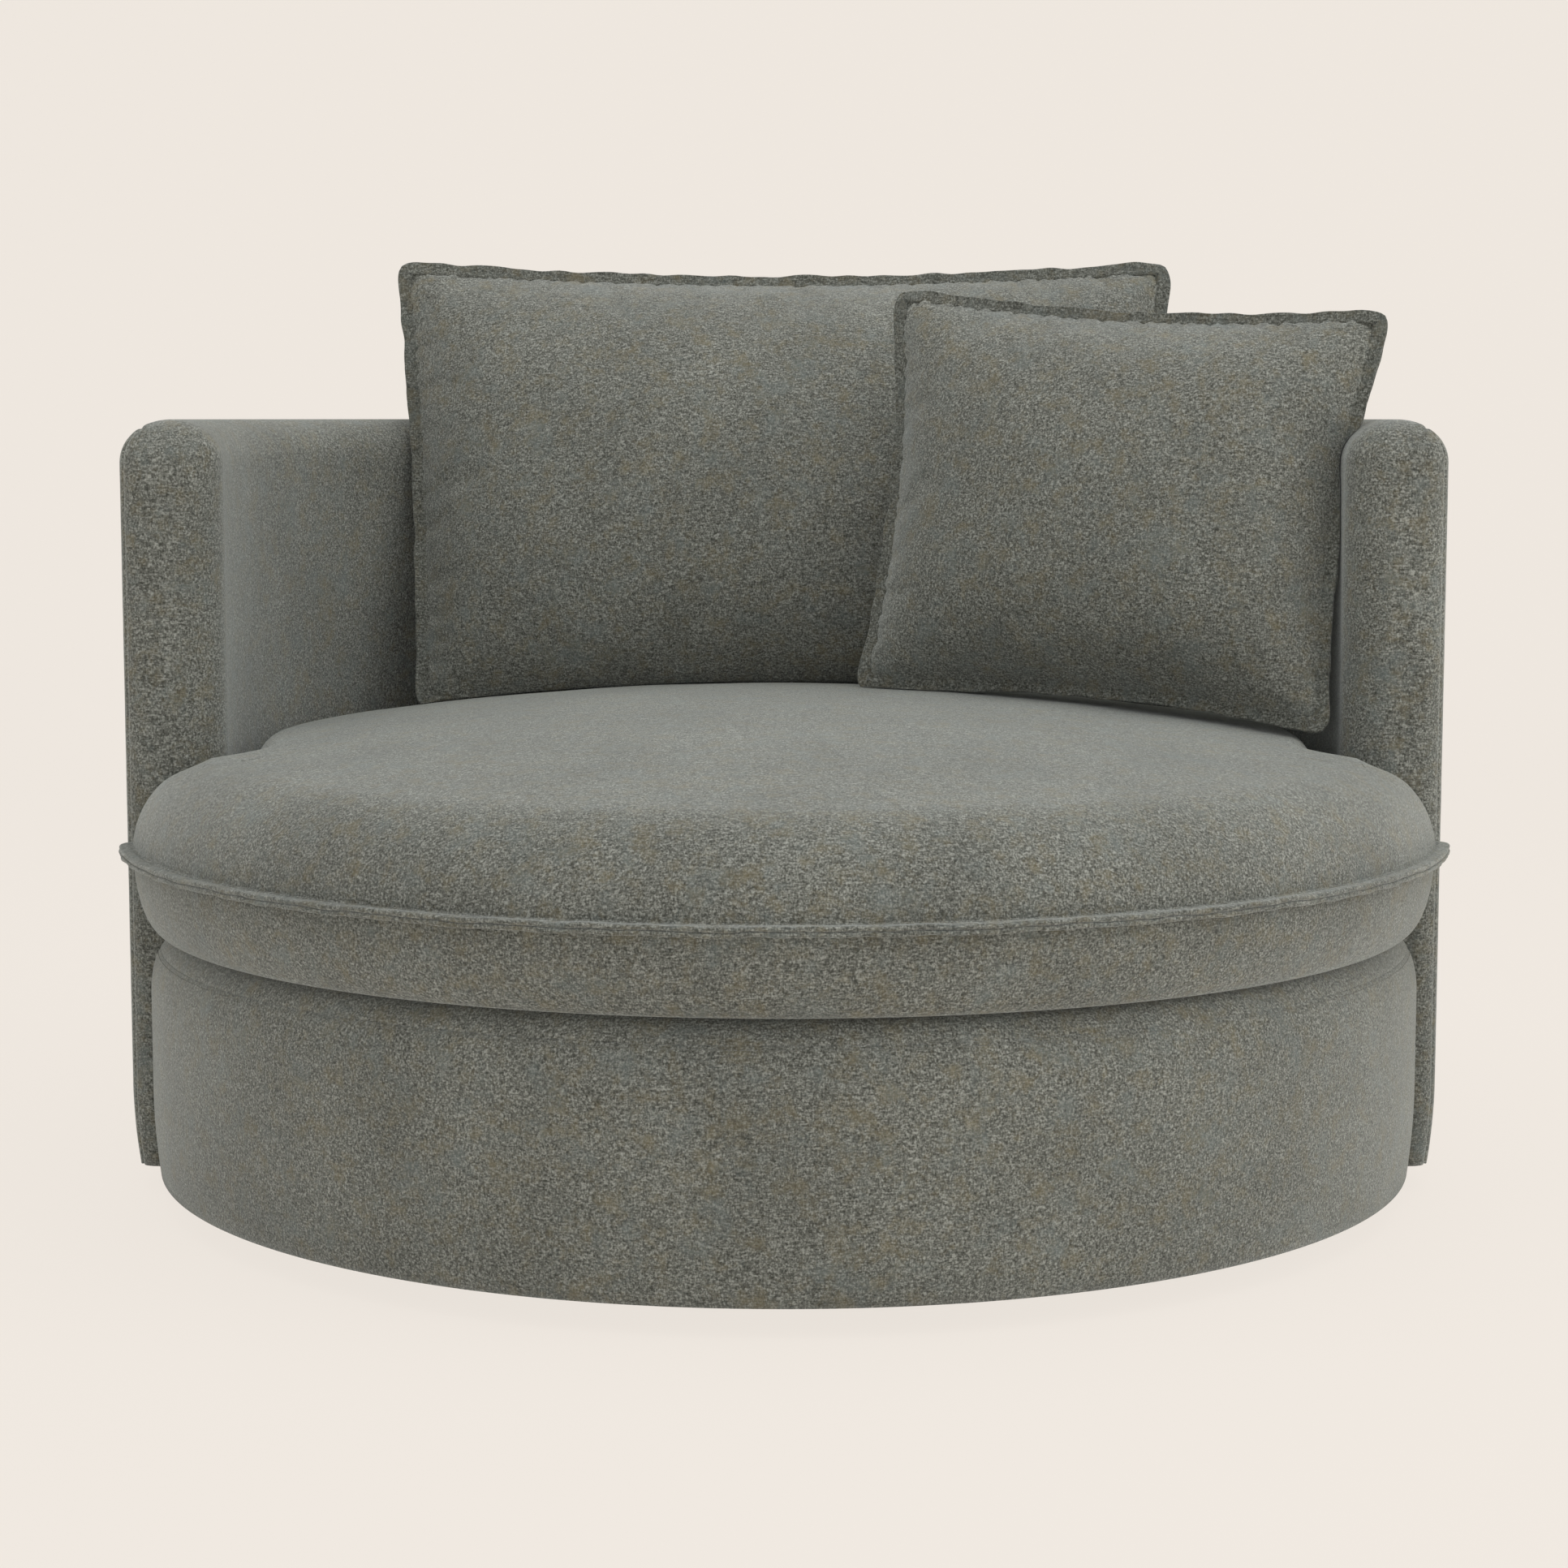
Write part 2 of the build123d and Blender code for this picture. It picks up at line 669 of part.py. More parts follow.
# Seat cushion: a crowned round that narrows between the arms, with a flanged seam all round
def seat_solid(inset):
    """The seat cushion's full round, moved inwards by inset: a broad crown, a tight edge, a lower bulge."""
    top = seat_top - inset
    edge = seat_edge_radius - inset
    edge_centre = seat_radius - seat_edge_radius
    rise = top - seat_seam_height
    broad = (edge_centre**2 + rise**2 - edge**2) / (2 * (rise - edge))
    turn = atan2(edge_centre, broad - rise)
    half_turn = turn / 2
    last_turn = (turn + pi / 2) / 2
    meeting = (broad * sin(turn), top - broad + broad * cos(turn))
    rim = (seat_radius - inset, seat_seam_height)
    floor = seat_bottom + inset
    with BuildPart() as body:
        with BuildSketch(Plane.XZ):
            with BuildLine():
                crown_middle = (broad * sin(half_turn), top - broad + broad * cos(half_turn))
                ThreePointArc((0, top), crown_middle, meeting)
                edge_middle = (edge_centre + edge * sin(last_turn), seat_seam_height + edge * cos(last_turn))
                ThreePointArc(meeting, edge_middle, rim)
                EllipticalCenterArc(
                    (seat_radius - seat_lower_width, seat_seam_height),
                    seat_lower_width - inset,
                    seat_lower_height - inset,
                    start_angle=-quarter_turn,
                    arc_size=quarter_turn,
                )
                Line((seat_radius - seat_lower_width, floor), (0, floor))
                Line((0, floor), (0, top))
            make_face()
        revolve(axis=Axis.Z)
    return body.part


def seat_plan(inset, bottom, top):
    """The seat cushion's plan as a slab, moved inwards by inset."""
    corners = (seat_ear_corner - inset, seat_notch_corner + inset)
    radii = (seat_plan_radius - inset, seat_back_radius - inset)
    return tee_prism(*radii, seat_step + inset, corners, bottom, top)


seat_room_top = seat_top + overrun
seat_outside = seat_solid(0)
seat_lining = seat_solid(cover_thickness)
seat_outside_plan = seat_plan(0, 0, seat_room_top)
seat_lining_plan = seat_plan(cover_thickness, 0, seat_room_top)
below_seam = disc(shell_radius + overrun, 0, seat_seam_height)
above_seam = disc(shell_radius + overrun, seat_seam_height, seat_room_top)

with BuildPart() as seat_cushion_core:
    add(
        tee_prism(
            seat_radius - 2 * cushion_wrap,
            seat_back_radius - cushion_wrap,
            seat_step + cushion_wrap,
            None,
            seat_bottom + cushion_wrap,
            seat_seam_height + seat_edge_radius - cushion_wrap,
        )
    )

with BuildPart() as seat_cushion_filling:
    add(seat_lining)
    add(seat_lining_plan, mode=Mode.INTERSECT)

with BuildPart() as seat_cushion_top_wrap:
    add(seat_cushion_filling.part)
    add(below_seam, mode=Mode.SUBTRACT)
    add(seat_cushion_core.part, mode=Mode.SUBTRACT)

with BuildPart() as seat_cushion_bottom_wrap:
    add(seat_cushion_filling.part)
    add(above_seam, mode=Mode.SUBTRACT)
    add(seat_cushion_core.part, mode=Mode.SUBTRACT)

with BuildPart() as seat_cushion_skin:
    add(seat_outside)
    add(seat_outside_plan, mode=Mode.INTERSECT)
    add(seat_cushion_filling.part, mode=Mode.SUBTRACT)

with BuildPart() as seat_cushion_top_cover:
    add(seat_cushion_skin.part)
    add(below_seam, mode=Mode.SUBTRACT)

with BuildPart() as seat_cushion_bottom_cover:
    add(seat_cushion_skin.part)
    add(above_seam, mode=Mode.SUBTRACT)

flange_bottom = seat_seam_height - flange_thickness / 2
with BuildPart() as seat_cushion_flange:
    add(seat_plan(-seat_flange_width, flange_bottom, flange_bottom + flange_thickness))
    add(seat_plan(0, flange_bottom, flange_bottom + flange_thickness), mode=Mode.SUBTRACT)


# Back cushion and throw pillow: two crowned halves and a flange on a leaning seam plane. The back
# cushion stands behind the seat's crown and leans on the shell where the crown of the shell starts.
# The pillow stands in front of it, by the right arm.
lean = radians(back_lean)
back_centre_height = seat_top - back_sink + back_half_height * cos(lean)
back_reach = (back_top_half + back_bottom_half) / 2 + seat_flange_width
wall_setback = sqrt((shell_inner_radius - back_wall_gap) ** 2 - back_reach**2)
back_seam_setback = wall_setback - (shell_height - shell_crown_height - back_centre_height) * tan(lean)

yaw = radians(pillow_yaw)
tilt = radians(pillow_lean)
pillow_centre_side = shell_inner_radius - pillow_wall_distance
pillow_centre_setback = back_seam_setback - back_front_crown - pillow_crown - pillow_tuck
pillow_centre_height = seat_top - pillow_sink + pillow_half_height * cos(tilt)


def bowed_outline(plane, sizes, bows, corner):
    """A four-sided outline with bowed sides and rounded corners."""
    top_half, bottom_half, half_height = sizes
    points = [
        Vector(-bottom_half, -half_height),
        Vector(bottom_half, -half_height),
        Vector(top_half, half_height),
        Vector(-top_half, half_height),
    ]
    with BuildSketch(plane) as outline:
        with BuildLine():
            for i, start in enumerate(points):
                end = points[(i + 1) % 4]
                beyond = points[(i + 2) % 4]
                along = (end - start).normalized()
                outward = Vector(along.Y, -along.X)
                first = start + along * corner
                last = end - along * corner
                ThreePointArc(first, (first + last) / 2 + outward * bows[i], last)
                turned = (beyond - end).normalized()
                inward = (turned - along).normalized()
                ThreePointArc(last, end + inward * corner * corner_depth_share, end + turned * corner)
        make_face()
    return outline.sketch


def crowned_half(plane, sizes, bows, corner, crown):
    """Half of a cushion, from its seam to the top of its crown."""
    levels = []
    for rise_share, size_share, round_share in crown_shares:
        level = [size * size_share for size in sizes]
        drawn = size_share * (1 - round_share)
        spans = (level[1], level[2], level[0], level[2])
        swell = round_bow_share * round_share
        level_bows = [bow * drawn + span * swell for bow, span in zip(bows, spans)]
        level_corner = corner * drawn + min(level) * round_corner_share * round_share
        levels.append(bowed_outline(plane.offset(crown * rise_share), level, level_bows, level_corner))
    with BuildPart() as half:
        loft(sections=[level.face() for level in levels])
    return half.part


def inset_sizes(sizes, inset):
    """The same outline moved inwards by inset."""
    return tuple(size - inset for size in sizes)


def flange_slab(plane, sizes, bows, corner, width):
    """A flat sewn edge on the seam plane."""
    under = plane.offset(-flange_thickness / 2)
    with BuildPart() as slab:
        edge = inset_sizes(sizes, -width)
        extrude(bowed_outline(under, edge, bows, corner + width), amount=flange_thickness)
        extrude(bowed_outline(under, sizes, bows, corner), amount=flange_thickness, mode=Mode.SUBTRACT)
    return slab.part


seat_room = seat_solid(-rest_gap)
seat_lining_room = seat_solid(-rest_gap - cover_thickness)
shell_room = shell_solid(-side_gap, drum_bottom)
shell_lining_room = shell_solid(-side_gap - cover_thickness, drum_bottom)

back_plane = Plane(
    origin=(0, back_seam_setback, back_centre_height),
    x_dir=(1, 0, 0),
    z_dir=(0, -cos(lean), sin(lean)),
)
back_sizes = (back_top_half, back_bottom_half, back_half_height)
back_bows = (back_side_bow, back_side_bow, back_top_bow, back_side_bow)
back_lining_sizes = inset_sizes(back_sizes, cover_thickness)

with BuildPart() as back_cushion_filling:
    for crown in (back_front_crown - cover_thickness, cover_thickness - back_rear_crown):
        add(crowned_half(back_plane, back_lining_sizes, back_bows, back_corner, crown))
    add(seat_lining_room, mode=Mode.SUBTRACT)
    add(shell_lining_room, mode=Mode.SUBTRACT)

with BuildPart() as back_cushion_front_cover:
    add(crowned_half(back_plane, back_sizes, back_bows, back_corner, back_front_crown))
    add(seat_room, mode=Mode.SUBTRACT)
    add(shell_room, mode=Mode.SUBTRACT)
    add(back_cushion_filling.part, mode=Mode.SUBTRACT)

with BuildPart() as back_cushion_rear_cover:
    add(crowned_half(back_plane, back_sizes, back_bows, back_corner, -back_rear_crown))
    add(seat_room, mode=Mode.SUBTRACT)
    add(shell_room, mode=Mode.SUBTRACT)
    add(back_cushion_filling.part, mode=Mode.SUBTRACT)

with BuildPart() as back_cushion_flange:
    add(flange_slab(back_plane, back_sizes, back_bows, back_corner, seat_flange_width))
    add(seat_room, mode=Mode.SUBTRACT)
    add(shell_room, mode=Mode.SUBTRACT)

roll = radians(pillow_roll)
pillow_facing = Vector(-sin(yaw) * cos(tilt), -cos(yaw) * cos(tilt), sin(tilt))
pillow_level = Vector(cos(yaw), -sin(yaw), 0)
pillow_plane = Plane(
    origin=(pillow_centre_side, pillow_centre_setback, pillow_centre_height),
    x_dir=pillow_level * cos(roll) - pillow_facing.cross(pillow_level) * sin(roll),
    z_dir=pillow_facing,
)
pillow_sizes = (pillow_top_half, pillow_bottom_half, pillow_half_height)
pillow_bows = (pillow_side_bow, pillow_side_bow, pillow_top_bow, pillow_side_bow)
pillow_lining_sizes = inset_sizes(pillow_sizes, cover_thickness)

with BuildPart() as throw_pillow_filling:
    for crown in (pillow_crown - cover_thickness, cover_thickness - pillow_crown):
        add(crowned_half(pillow_plane, pillow_lining_sizes, pillow_bows, pillow_corner, crown))
    add(seat_lining_room, mode=Mode.SUBTRACT)
    add(shell_lining_room, mode=Mode.SUBTRACT)

with BuildPart() as throw_pillow_front_cover:
    add(crowned_half(pillow_plane, pillow_sizes, pillow_bows, pillow_corner, pillow_crown))
    add(seat_room, mode=Mode.SUBTRACT)
    add(shell_room, mode=Mode.SUBTRACT)
    add(throw_pillow_filling.part, mode=Mode.SUBTRACT)

with BuildPart() as throw_pillow_rear_cover:
    add(crowned_half(pillow_plane, pillow_sizes, pillow_bows, pillow_corner, -pillow_crown))
    add(seat_room, mode=Mode.SUBTRACT)
    add(shell_room, mode=Mode.SUBTRACT)
    add(throw_pillow_filling.part, mode=Mode.SUBTRACT)

with BuildPart() as throw_pillow_flange:
    add(flange_slab(pillow_plane, pillow_sizes, pillow_bows, pillow_corner, pillow_flange_width))
    add(seat_room, mode=Mode.SUBTRACT)
    add(shell_room, mode=Mode.SUBTRACT)

pieces = {
    "floor_glides": floor_glides,
    "base_board": base_board,
    "swivel_pin": swivel_pin,
    "swivel_lower_plate": swivel_lower_plate,
    "lower_plate_screws": lower_plate_screws,
    "bearing_balls": bearing_balls,
    "ball_cage": ball_cage,
    "pin_washer": pin_washer,
    "pin_nut": pin_nut,
    "swivel_upper_plate": swivel_upper_plate,
    "upper_plate_screws": upper_plate_screws,
    "bottom_panel": bottom_panel,
    "drum_posts": drum_posts,
    "front_rail": front_rail,
    "deck_ring": deck_ring,
    "deck_screws": deck_screws,
    "webbing_across": webbing_across,
    "webbing_lengthwise": webbing_lengthwise,
    "drum_side_foam": drum_side_foam,
    "deck_pad": deck_pad,
    "drum_side_cover": drum_side_cover,
    "deck_cover": deck_cover,
    "dust_cover": dust_cover,
    "cover_staples": cover_staples,
    "shell_bottom_rail": shell_bottom_rail,
    "bottom_rail_screws": bottom_rail_screws,
    "shell_posts": shell_posts,
    "shell_top_rail": shell_top_rail,
    "top_rail_screws": top_rail_screws,
    "arm_end_boards": arm_end_boards,
    "shell_inner_panel": shell_inner_panel,
    "shell_outer_panel": shell_outer_panel,
    "shell_foam": shell_foam,
    "shell_outer_cover": shell_outer_cover,
    "shell_inner_cover": shell_inner_cover,
    "seat_cushion_core": seat_cushion_core,
    "seat_cushion_top_wrap": seat_cushion_top_wrap,
    "seat_cushion_bottom_wrap": seat_cushion_bottom_wrap,
    "seat_cushion_top_cover": seat_cushion_top_cover,
    "seat_cushion_bottom_cover": seat_cushion_bottom_cover,
    "seat_cushion_flange": seat_cushion_flange,
    "back_cushion_filling": back_cushion_filling,
    "back_cushion_front_cover": back_cushion_front_cover,
    "back_cushion_rear_cover": back_cushion_rear_cover,
    "back_cushion_flange": back_cushion_flange,
    "throw_pillow_filling": throw_pillow_filling,
    "throw_pillow_front_cover": throw_pillow_front_cover,
    "throw_pillow_rear_cover": throw_pillow_rear_cover,
    "throw_pillow_flange": throw_pillow_flange,
}

os.makedirs("parts", exist_ok=True)
for name, piece in pieces.items():
    piece.part.label = name
    export_step(piece.part, f"parts/{name}.step")
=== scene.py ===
from math import acos, asin, atan2, cos, exp, pi, radians, sin, sqrt

import bmesh
import bpy
import numpy as np
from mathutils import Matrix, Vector
from mathutils.bvhtree import BVHTree
from mathutils.kdtree import KDTree


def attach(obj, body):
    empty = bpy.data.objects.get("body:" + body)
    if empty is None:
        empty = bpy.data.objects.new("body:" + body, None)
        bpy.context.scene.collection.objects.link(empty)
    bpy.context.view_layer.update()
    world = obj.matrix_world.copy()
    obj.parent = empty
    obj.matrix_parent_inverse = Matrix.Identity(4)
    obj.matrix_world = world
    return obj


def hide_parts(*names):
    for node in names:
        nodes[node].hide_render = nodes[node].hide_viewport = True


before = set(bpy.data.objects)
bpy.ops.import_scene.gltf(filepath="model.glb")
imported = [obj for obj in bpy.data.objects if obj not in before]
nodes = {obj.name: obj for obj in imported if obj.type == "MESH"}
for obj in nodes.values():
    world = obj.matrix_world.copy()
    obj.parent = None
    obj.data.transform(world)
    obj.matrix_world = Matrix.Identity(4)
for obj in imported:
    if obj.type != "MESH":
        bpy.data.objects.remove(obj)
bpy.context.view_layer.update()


# Floor glides and ball cage: black nylon, injection moulded. The glides are nailed under the
# base board so that it stands level, and the cage keeps the bearing balls apart.
def linear(code):
    """An sRGB hex colour as linear red, green, blue and alpha."""
    parts = [int(code[i : i + 2], 16) / 255 for i in (0, 2, 4)]
    return [p / 12.92 if p <= 0.04045 else ((p + 0.055) / 1.055) ** 2.4 for p in parts] + [1]


def add(tree, kind, settings=None, links=None):
    """Adds a node, sets its properties and sockets, and links other nodes' sockets into it."""
    node = tree.nodes.new(kind)
    for key, value in (settings or {}).items():
        if isinstance(key, str) and hasattr(node, key):
            setattr(node, key, value)
        else:
            node.inputs[key].default_value = value
    for key, socket in (links or {}).items():
        tree.links.new(socket, node.inputs[key])
    return node


def finish_material(name):
    """A new material with its tree, its principled shader and object coordinates."""
    material = bpy.data.materials.new(name)
    material.use_nodes = True
    tree = material.node_tree
    place = add(tree, "ShaderNodeTexCoord").outputs["Object"]
    return material, tree, tree.nodes["Principled BSDF"], place


def dress(material, *names):
    """Gives CAD nodes a material."""
    for name in names:
        mesh = nodes[name].data
        mesh.materials.clear()
        mesh.materials.append(material)


# Nylon is satin and picks up fine scuffs where it drags on a floor.
nylon, tree, shader, place = finish_material("moulded_black_nylon")
scuff = add(tree, "ShaderNodeTexNoise", {"Scale": 900, "Detail": 4}, {"Vector": place})
tone = add(tree, "ShaderNodeValToRGB", links={"Fac": scuff.outputs["Fac"]})
tone.color_ramp.elements[0].color = linear("17181a")
tone.color_ramp.elements[1].color = linear("303234")
rough = add(tree, "ShaderNodeMapRange", {"To Min": 0.35, "To Max": 0.6}, {"Value": scuff.outputs["Fac"]})
tree.links.new(tone.outputs["Color"], shader.inputs["Base Color"])
tree.links.new(rough.outputs["Result"], shader.inputs["Roughness"])
dress(nylon, "floor_glides", "ball_cage")


# Boards of the base, drum and shell: birch plywood, sawn and left bare, screwed and stapled together.
# The grain runs along X, about 4 mm wide, and the faces are dry and matt.
def board(name, pale, dark, grain_width, grain_length):
    """Bare wood whose grain runs along X."""
    material, tree, shader, place = finish_material(name)
    scale = (1 / grain_length, 1 / grain_width, 1 / grain_width)
    laid = add(tree, "ShaderNodeMapping", {"Scale": scale}, {"Vector": place})
    settings = {"Scale": 1, "Detail": 6, "Distortion": 0.6}
    grain = add(tree, "ShaderNodeTexNoise", settings, {"Vector": laid.outputs[0]})
    tone = add(tree, "ShaderNodeValToRGB", links={"Fac": grain.outputs["Fac"]})
    tone.color_ramp.elements[0].position = 0.3
    tone.color_ramp.elements[0].color = linear(dark)
    tone.color_ramp.elements[1].position = 0.7
    tone.color_ramp.elements[1].color = linear(pale)
    relief = {"Strength": 0.2, "Distance": 0.0003}
    bump = add(tree, "ShaderNodeBump", relief, {"Height": grain.outputs["Fac"]})
    tree.links.new(tone.outputs["Color"], shader.inputs["Base Color"])
    tree.links.new(bump.outputs["Normal"], shader.inputs["Normal"])
    shader.inputs["Roughness"].default_value = 0.75
    return material


dress(
    board("sawn_birch_plywood", "d9bb8c", "b58d5a", 0.004, 0.09),
    "base_board", "bottom_panel", "front_rail", "deck_ring",
    "shell_bottom_rail", "shell_top_rail", "arm_end_boards",
)
dress(board("planed_spruce", "dfc398", "c09a63", 0.007, 0.16), "drum_posts", "shell_posts")
dress(board("bent_hardboard", "8a6845", "6f5031", 0.0015, 0.003), "shell_inner_panel", "shell_outer_panel")


# Swivel bearing: two pressed steel plates, powder coated black, with hardened balls between them.
# Powder coat has a fine orange peel of about 1 mm.
powder, tree, shader, place = finish_material("black_powder_coat")
peel = add(tree, "ShaderNodeTexNoise", {"Scale": 1000, "Detail": 2}, {"Vector": place})
bump = add(tree, "ShaderNodeBump", {"Strength": 0.3, "Distance": 0.0001}, {"Height": peel.outputs["Fac"]})
rough = add(tree, "ShaderNodeMapRange", {"To Min": 0.4, "To Max": 0.55}, {"Value": peel.outputs["Fac"]})
shader.inputs["Base Color"].default_value = linear("1f2022")
tree.links.new(bump.outputs["Normal"], shader.inputs["Normal"])
tree.links.new(rough.outputs["Result"], shader.inputs["Roughness"])
dress(powder, "swivel_lower_plate", "swivel_upper_plate")

# Zinc-plated steel is bright grey with a faint cloudy bloom.
zinc, tree, shader, place = finish_material("zinc_plated_steel")
bloom = add(tree, "ShaderNodeTexNoise", {"Scale": 250, "Detail": 5}, {"Vector": place})
tone = add(tree, "ShaderNodeValToRGB", links={"Fac": bloom.outputs["Fac"]})
tone.color_ramp.elements[0].color = linear("9a9da1")
tone.color_ramp.elements[1].color = linear("c9cccd")
rough = add(tree, "ShaderNodeMapRange", {"To Min": 0.22, "To Max": 0.42}, {"Value": bloom.outputs["Fac"]})
shader.inputs["Metallic"].default_value = 1
tree.links.new(tone.outputs["Color"], shader.inputs["Base Color"])
tree.links.new(rough.outputs["Result"], shader.inputs["Roughness"])
dress(
    zinc, "swivel_pin", "bearing_balls", "pin_washer", "pin_nut", "lower_plate_screws",
    "upper_plate_screws", "deck_screws", "bottom_rail_screws", "top_rail_screws", "cover_staples",
)


# Upholstery of the drum: a band of chenille over foam round its side, and a deck cover that comes
# over the shoulder and is sewn to it. Both are pulled tight and stapled under the bottom panel.
def chenille_cloth(name, thread, pale, mid, dark, ochre, slate):
    """Chenille with a short pile: crossed threads of three tones, with ochre and slate yarn in patches."""
    material, tree, shader, place = finish_material(name)
    lies = []
    for lie in ((3.2, 1, 1), (1, 3.2, 1), (1, 1, 1.8)):
        scale = [1 / (thread * length) for length in lie]
        laid = add(tree, "ShaderNodeMapping", {"Scale": scale}, {"Vector": place})
        settings = {"Scale": 1, "Detail": 3, "Roughness": 0.6}
        lies.append(add(tree, "ShaderNodeTexNoise", settings, {"Vector": laid.outputs[0]}))
    crossed = lies[0]
    for lie in lies[1:]:
        sockets = {0: crossed.outputs[0], 1: lie.outputs[0]}
        crossed = add(tree, "ShaderNodeMath", {"operation": "ADD"}, sockets)
    ranges = {"From Min": 1.2, "From Max": 1.8}
    yarn = add(tree, "ShaderNodeMapRange", ranges, {"Value": crossed.outputs[0]})
    tone = add(tree, "ShaderNodeValToRGB", links={"Fac": yarn.outputs["Result"]})
    tone.color_ramp.elements[0].color = linear(dark)
    tone.color_ramp.elements[1].color = linear(pale)
    tone.color_ramp.elements.new(0.5).color = linear(mid)

    blend = tone.outputs["Color"]
    for tint, patch, low, high in ((ochre, 0.021, 0.5, 0.72), (slate, 0.034, 0.52, 0.74)):
        settings = {"Scale": 1 / patch, "Detail": 5, "Roughness": 0.72}
        blotch = add(tree, "ShaderNodeTexNoise", settings, {"Vector": place})
        ranges = {"From Min": low, "From Max": high, "To Max": 0.62}
        share = add(tree, "ShaderNodeMapRange", ranges, {"Value": blotch.outputs["Fac"]})
        mixed = add(tree, "ShaderNodeMix", {"data_type": "RGBA"}, {0: share.outputs["Result"], 6: blend})
        mixed.inputs[7].default_value = linear(tint)
        blend = mixed.outputs[2]

    cloud = add(tree, "ShaderNodeTexNoise", {"Scale": 9, "Detail": 4}, {"Vector": place})
    ranges = {"From Min": 0.3, "From Max": 0.7, "To Min": 0.9, "To Max": 1.1}
    shade = add(tree, "ShaderNodeMapRange", ranges, {"Value": cloud.outputs["Fac"]})
    sockets = {0: blend, "Scale": shade.outputs["Result"]}
    worn = add(tree, "ShaderNodeVectorMath", {"operation": "SCALE"}, sockets)
    relief = {"Strength": 0.55, "Distance": 0.0008}
    bump = add(tree, "ShaderNodeBump", relief, {"Height": crossed.outputs[0]})
    tree.links.new(worn.outputs[0], shader.inputs["Base Color"])
    tree.links.new(bump.outputs["Normal"], shader.inputs["Normal"])
    shader.inputs["Roughness"].default_value = 0.92
    shader.inputs["Specular IOR Level"].default_value = 0.2
    shader.inputs["Sheen Weight"].default_value = 0.48
    shader.inputs["Sheen Roughness"].default_value = 0.45
    shader.inputs["Sheen Tint"].default_value = linear("e8edea")
    return material


# The pile is dark face on and pale at a grazing view. Real threads lie about 1 mm apart, and they are
# drawn 1.6 mm apart so that they show. The patches of ochre and slate yarn are 20 to 35 mm across.
chenille = chenille_cloth("grey_green_chenille", 0.0016, "989a92", "666760", "3b3c36", "72694f", "6a7270")


def arc(centre, radius, start, end, steps):
    """Points along an arc."""
    turn = np.linspace(start, end, steps)
    return np.column_stack((centre[0] + radius * np.cos(turn), centre[1] + radius * np.sin(turn)))


def mirrored(right):
    """A closed outline from its right half, which starts and ends on the plane x = 0."""
    left = right[::-1] * (-1, 1)
    return np.vstack([right, left[1:-1]])


def tee_outline(front, back, step, ear, notch, inset):
    """A plan that is wide in front of the arms and narrower behind them, moved inwards by inset."""
    front, back, line = front - inset, back - inset, -step - inset
    ear, notch = max(ear - inset, 0.0005), notch + inset
    ear_y, notch_y = line - ear, line + notch
    ear_x = sqrt((front - ear) ** 2 - ear_y**2)
    notch_x = sqrt((back + notch) ** 2 - notch_y**2)
    ear_turn, notch_turn = atan2(ear_y, ear_x), atan2(notch_y, notch_x)
    return mirrored(
        np.vstack([
            arc((0, 0), front, -pi / 2, ear_turn, 190),
            arc((ear_x, ear_y), ear, ear_turn, pi / 2, 12)[1:],
            arc((notch_x, notch_y), notch, -pi / 2, notch_turn - pi, 10),
            arc((0, 0), back, notch_turn, pi / 2, 110)[1:],
        ])
    )


def at_height(outline, height):
    """A plan lifted to a height."""
    return np.column_stack((outline, np.full(len(outline), height)))


def towards(ring, middle, share):
    """A ring drawn towards a point, down to a share of its size."""
    return ring * share + np.array(middle) * (1 - share)


def piece_of(name, points, faces, material):
    """A smooth piece with its doubles merged and its faces turned outwards."""
    mesh = bpy.data.meshes.new(name)
    mesh.from_pydata(np.asarray(points).tolist(), [], faces)
    form = bmesh.new()
    form.from_mesh(mesh)
    bmesh.ops.remove_doubles(form, verts=form.verts, dist=1e-5)
    bmesh.ops.dissolve_degenerate(form, edges=form.edges, dist=1e-6)
    bmesh.ops.recalc_face_normals(form, faces=form.faces)
    for face in form.faces:
        face.smooth = True
    form.to_mesh(mesh)
    form.free()
    mesh.materials.append(material)
    piece = bpy.data.objects.new(name, mesh)
    bpy.context.collection.objects.link(piece)
    return piece


def skin(name, rings, material, looped=False):
    """A skin through closed rings with equal numbers of points. A looped skin joins its ends."""
    count = len(rings[0])
    here = np.arange(count)
    there = np.roll(here, -1)
    faces = []
    for i in range(len(rings) if looped else len(rings) - 1):
        a, b = i * count, ((i + 1) % len(rings)) * count
        faces += np.column_stack((a + here, a + there, b + there, b + here)).tolist()
    return piece_of(name, np.vstack(rings), faces, material)


def places_of(piece):
    """A piece's points as an array."""
    points = np.zeros(len(piece.data.vertices) * 3)
    piece.data.vertices.foreach_get("co", points)
    return points.reshape(-1, 3)


def set_places(piece, points):
    """Moves a piece's points."""
    piece.data.vertices.foreach_set("co", points.ravel())
    piece.data.update()


def ripple(length, total, pitches):
    """Waves along a seam that meet where a closed seam meets, between -1 and 1."""
    turn = 2 * pi * length / total
    waves = [np.sin(max(round(total / pitch), 1) * turn + 1.7 * i) for i, pitch in enumerate(pitches)]
    return sum(waves) / len(waves)


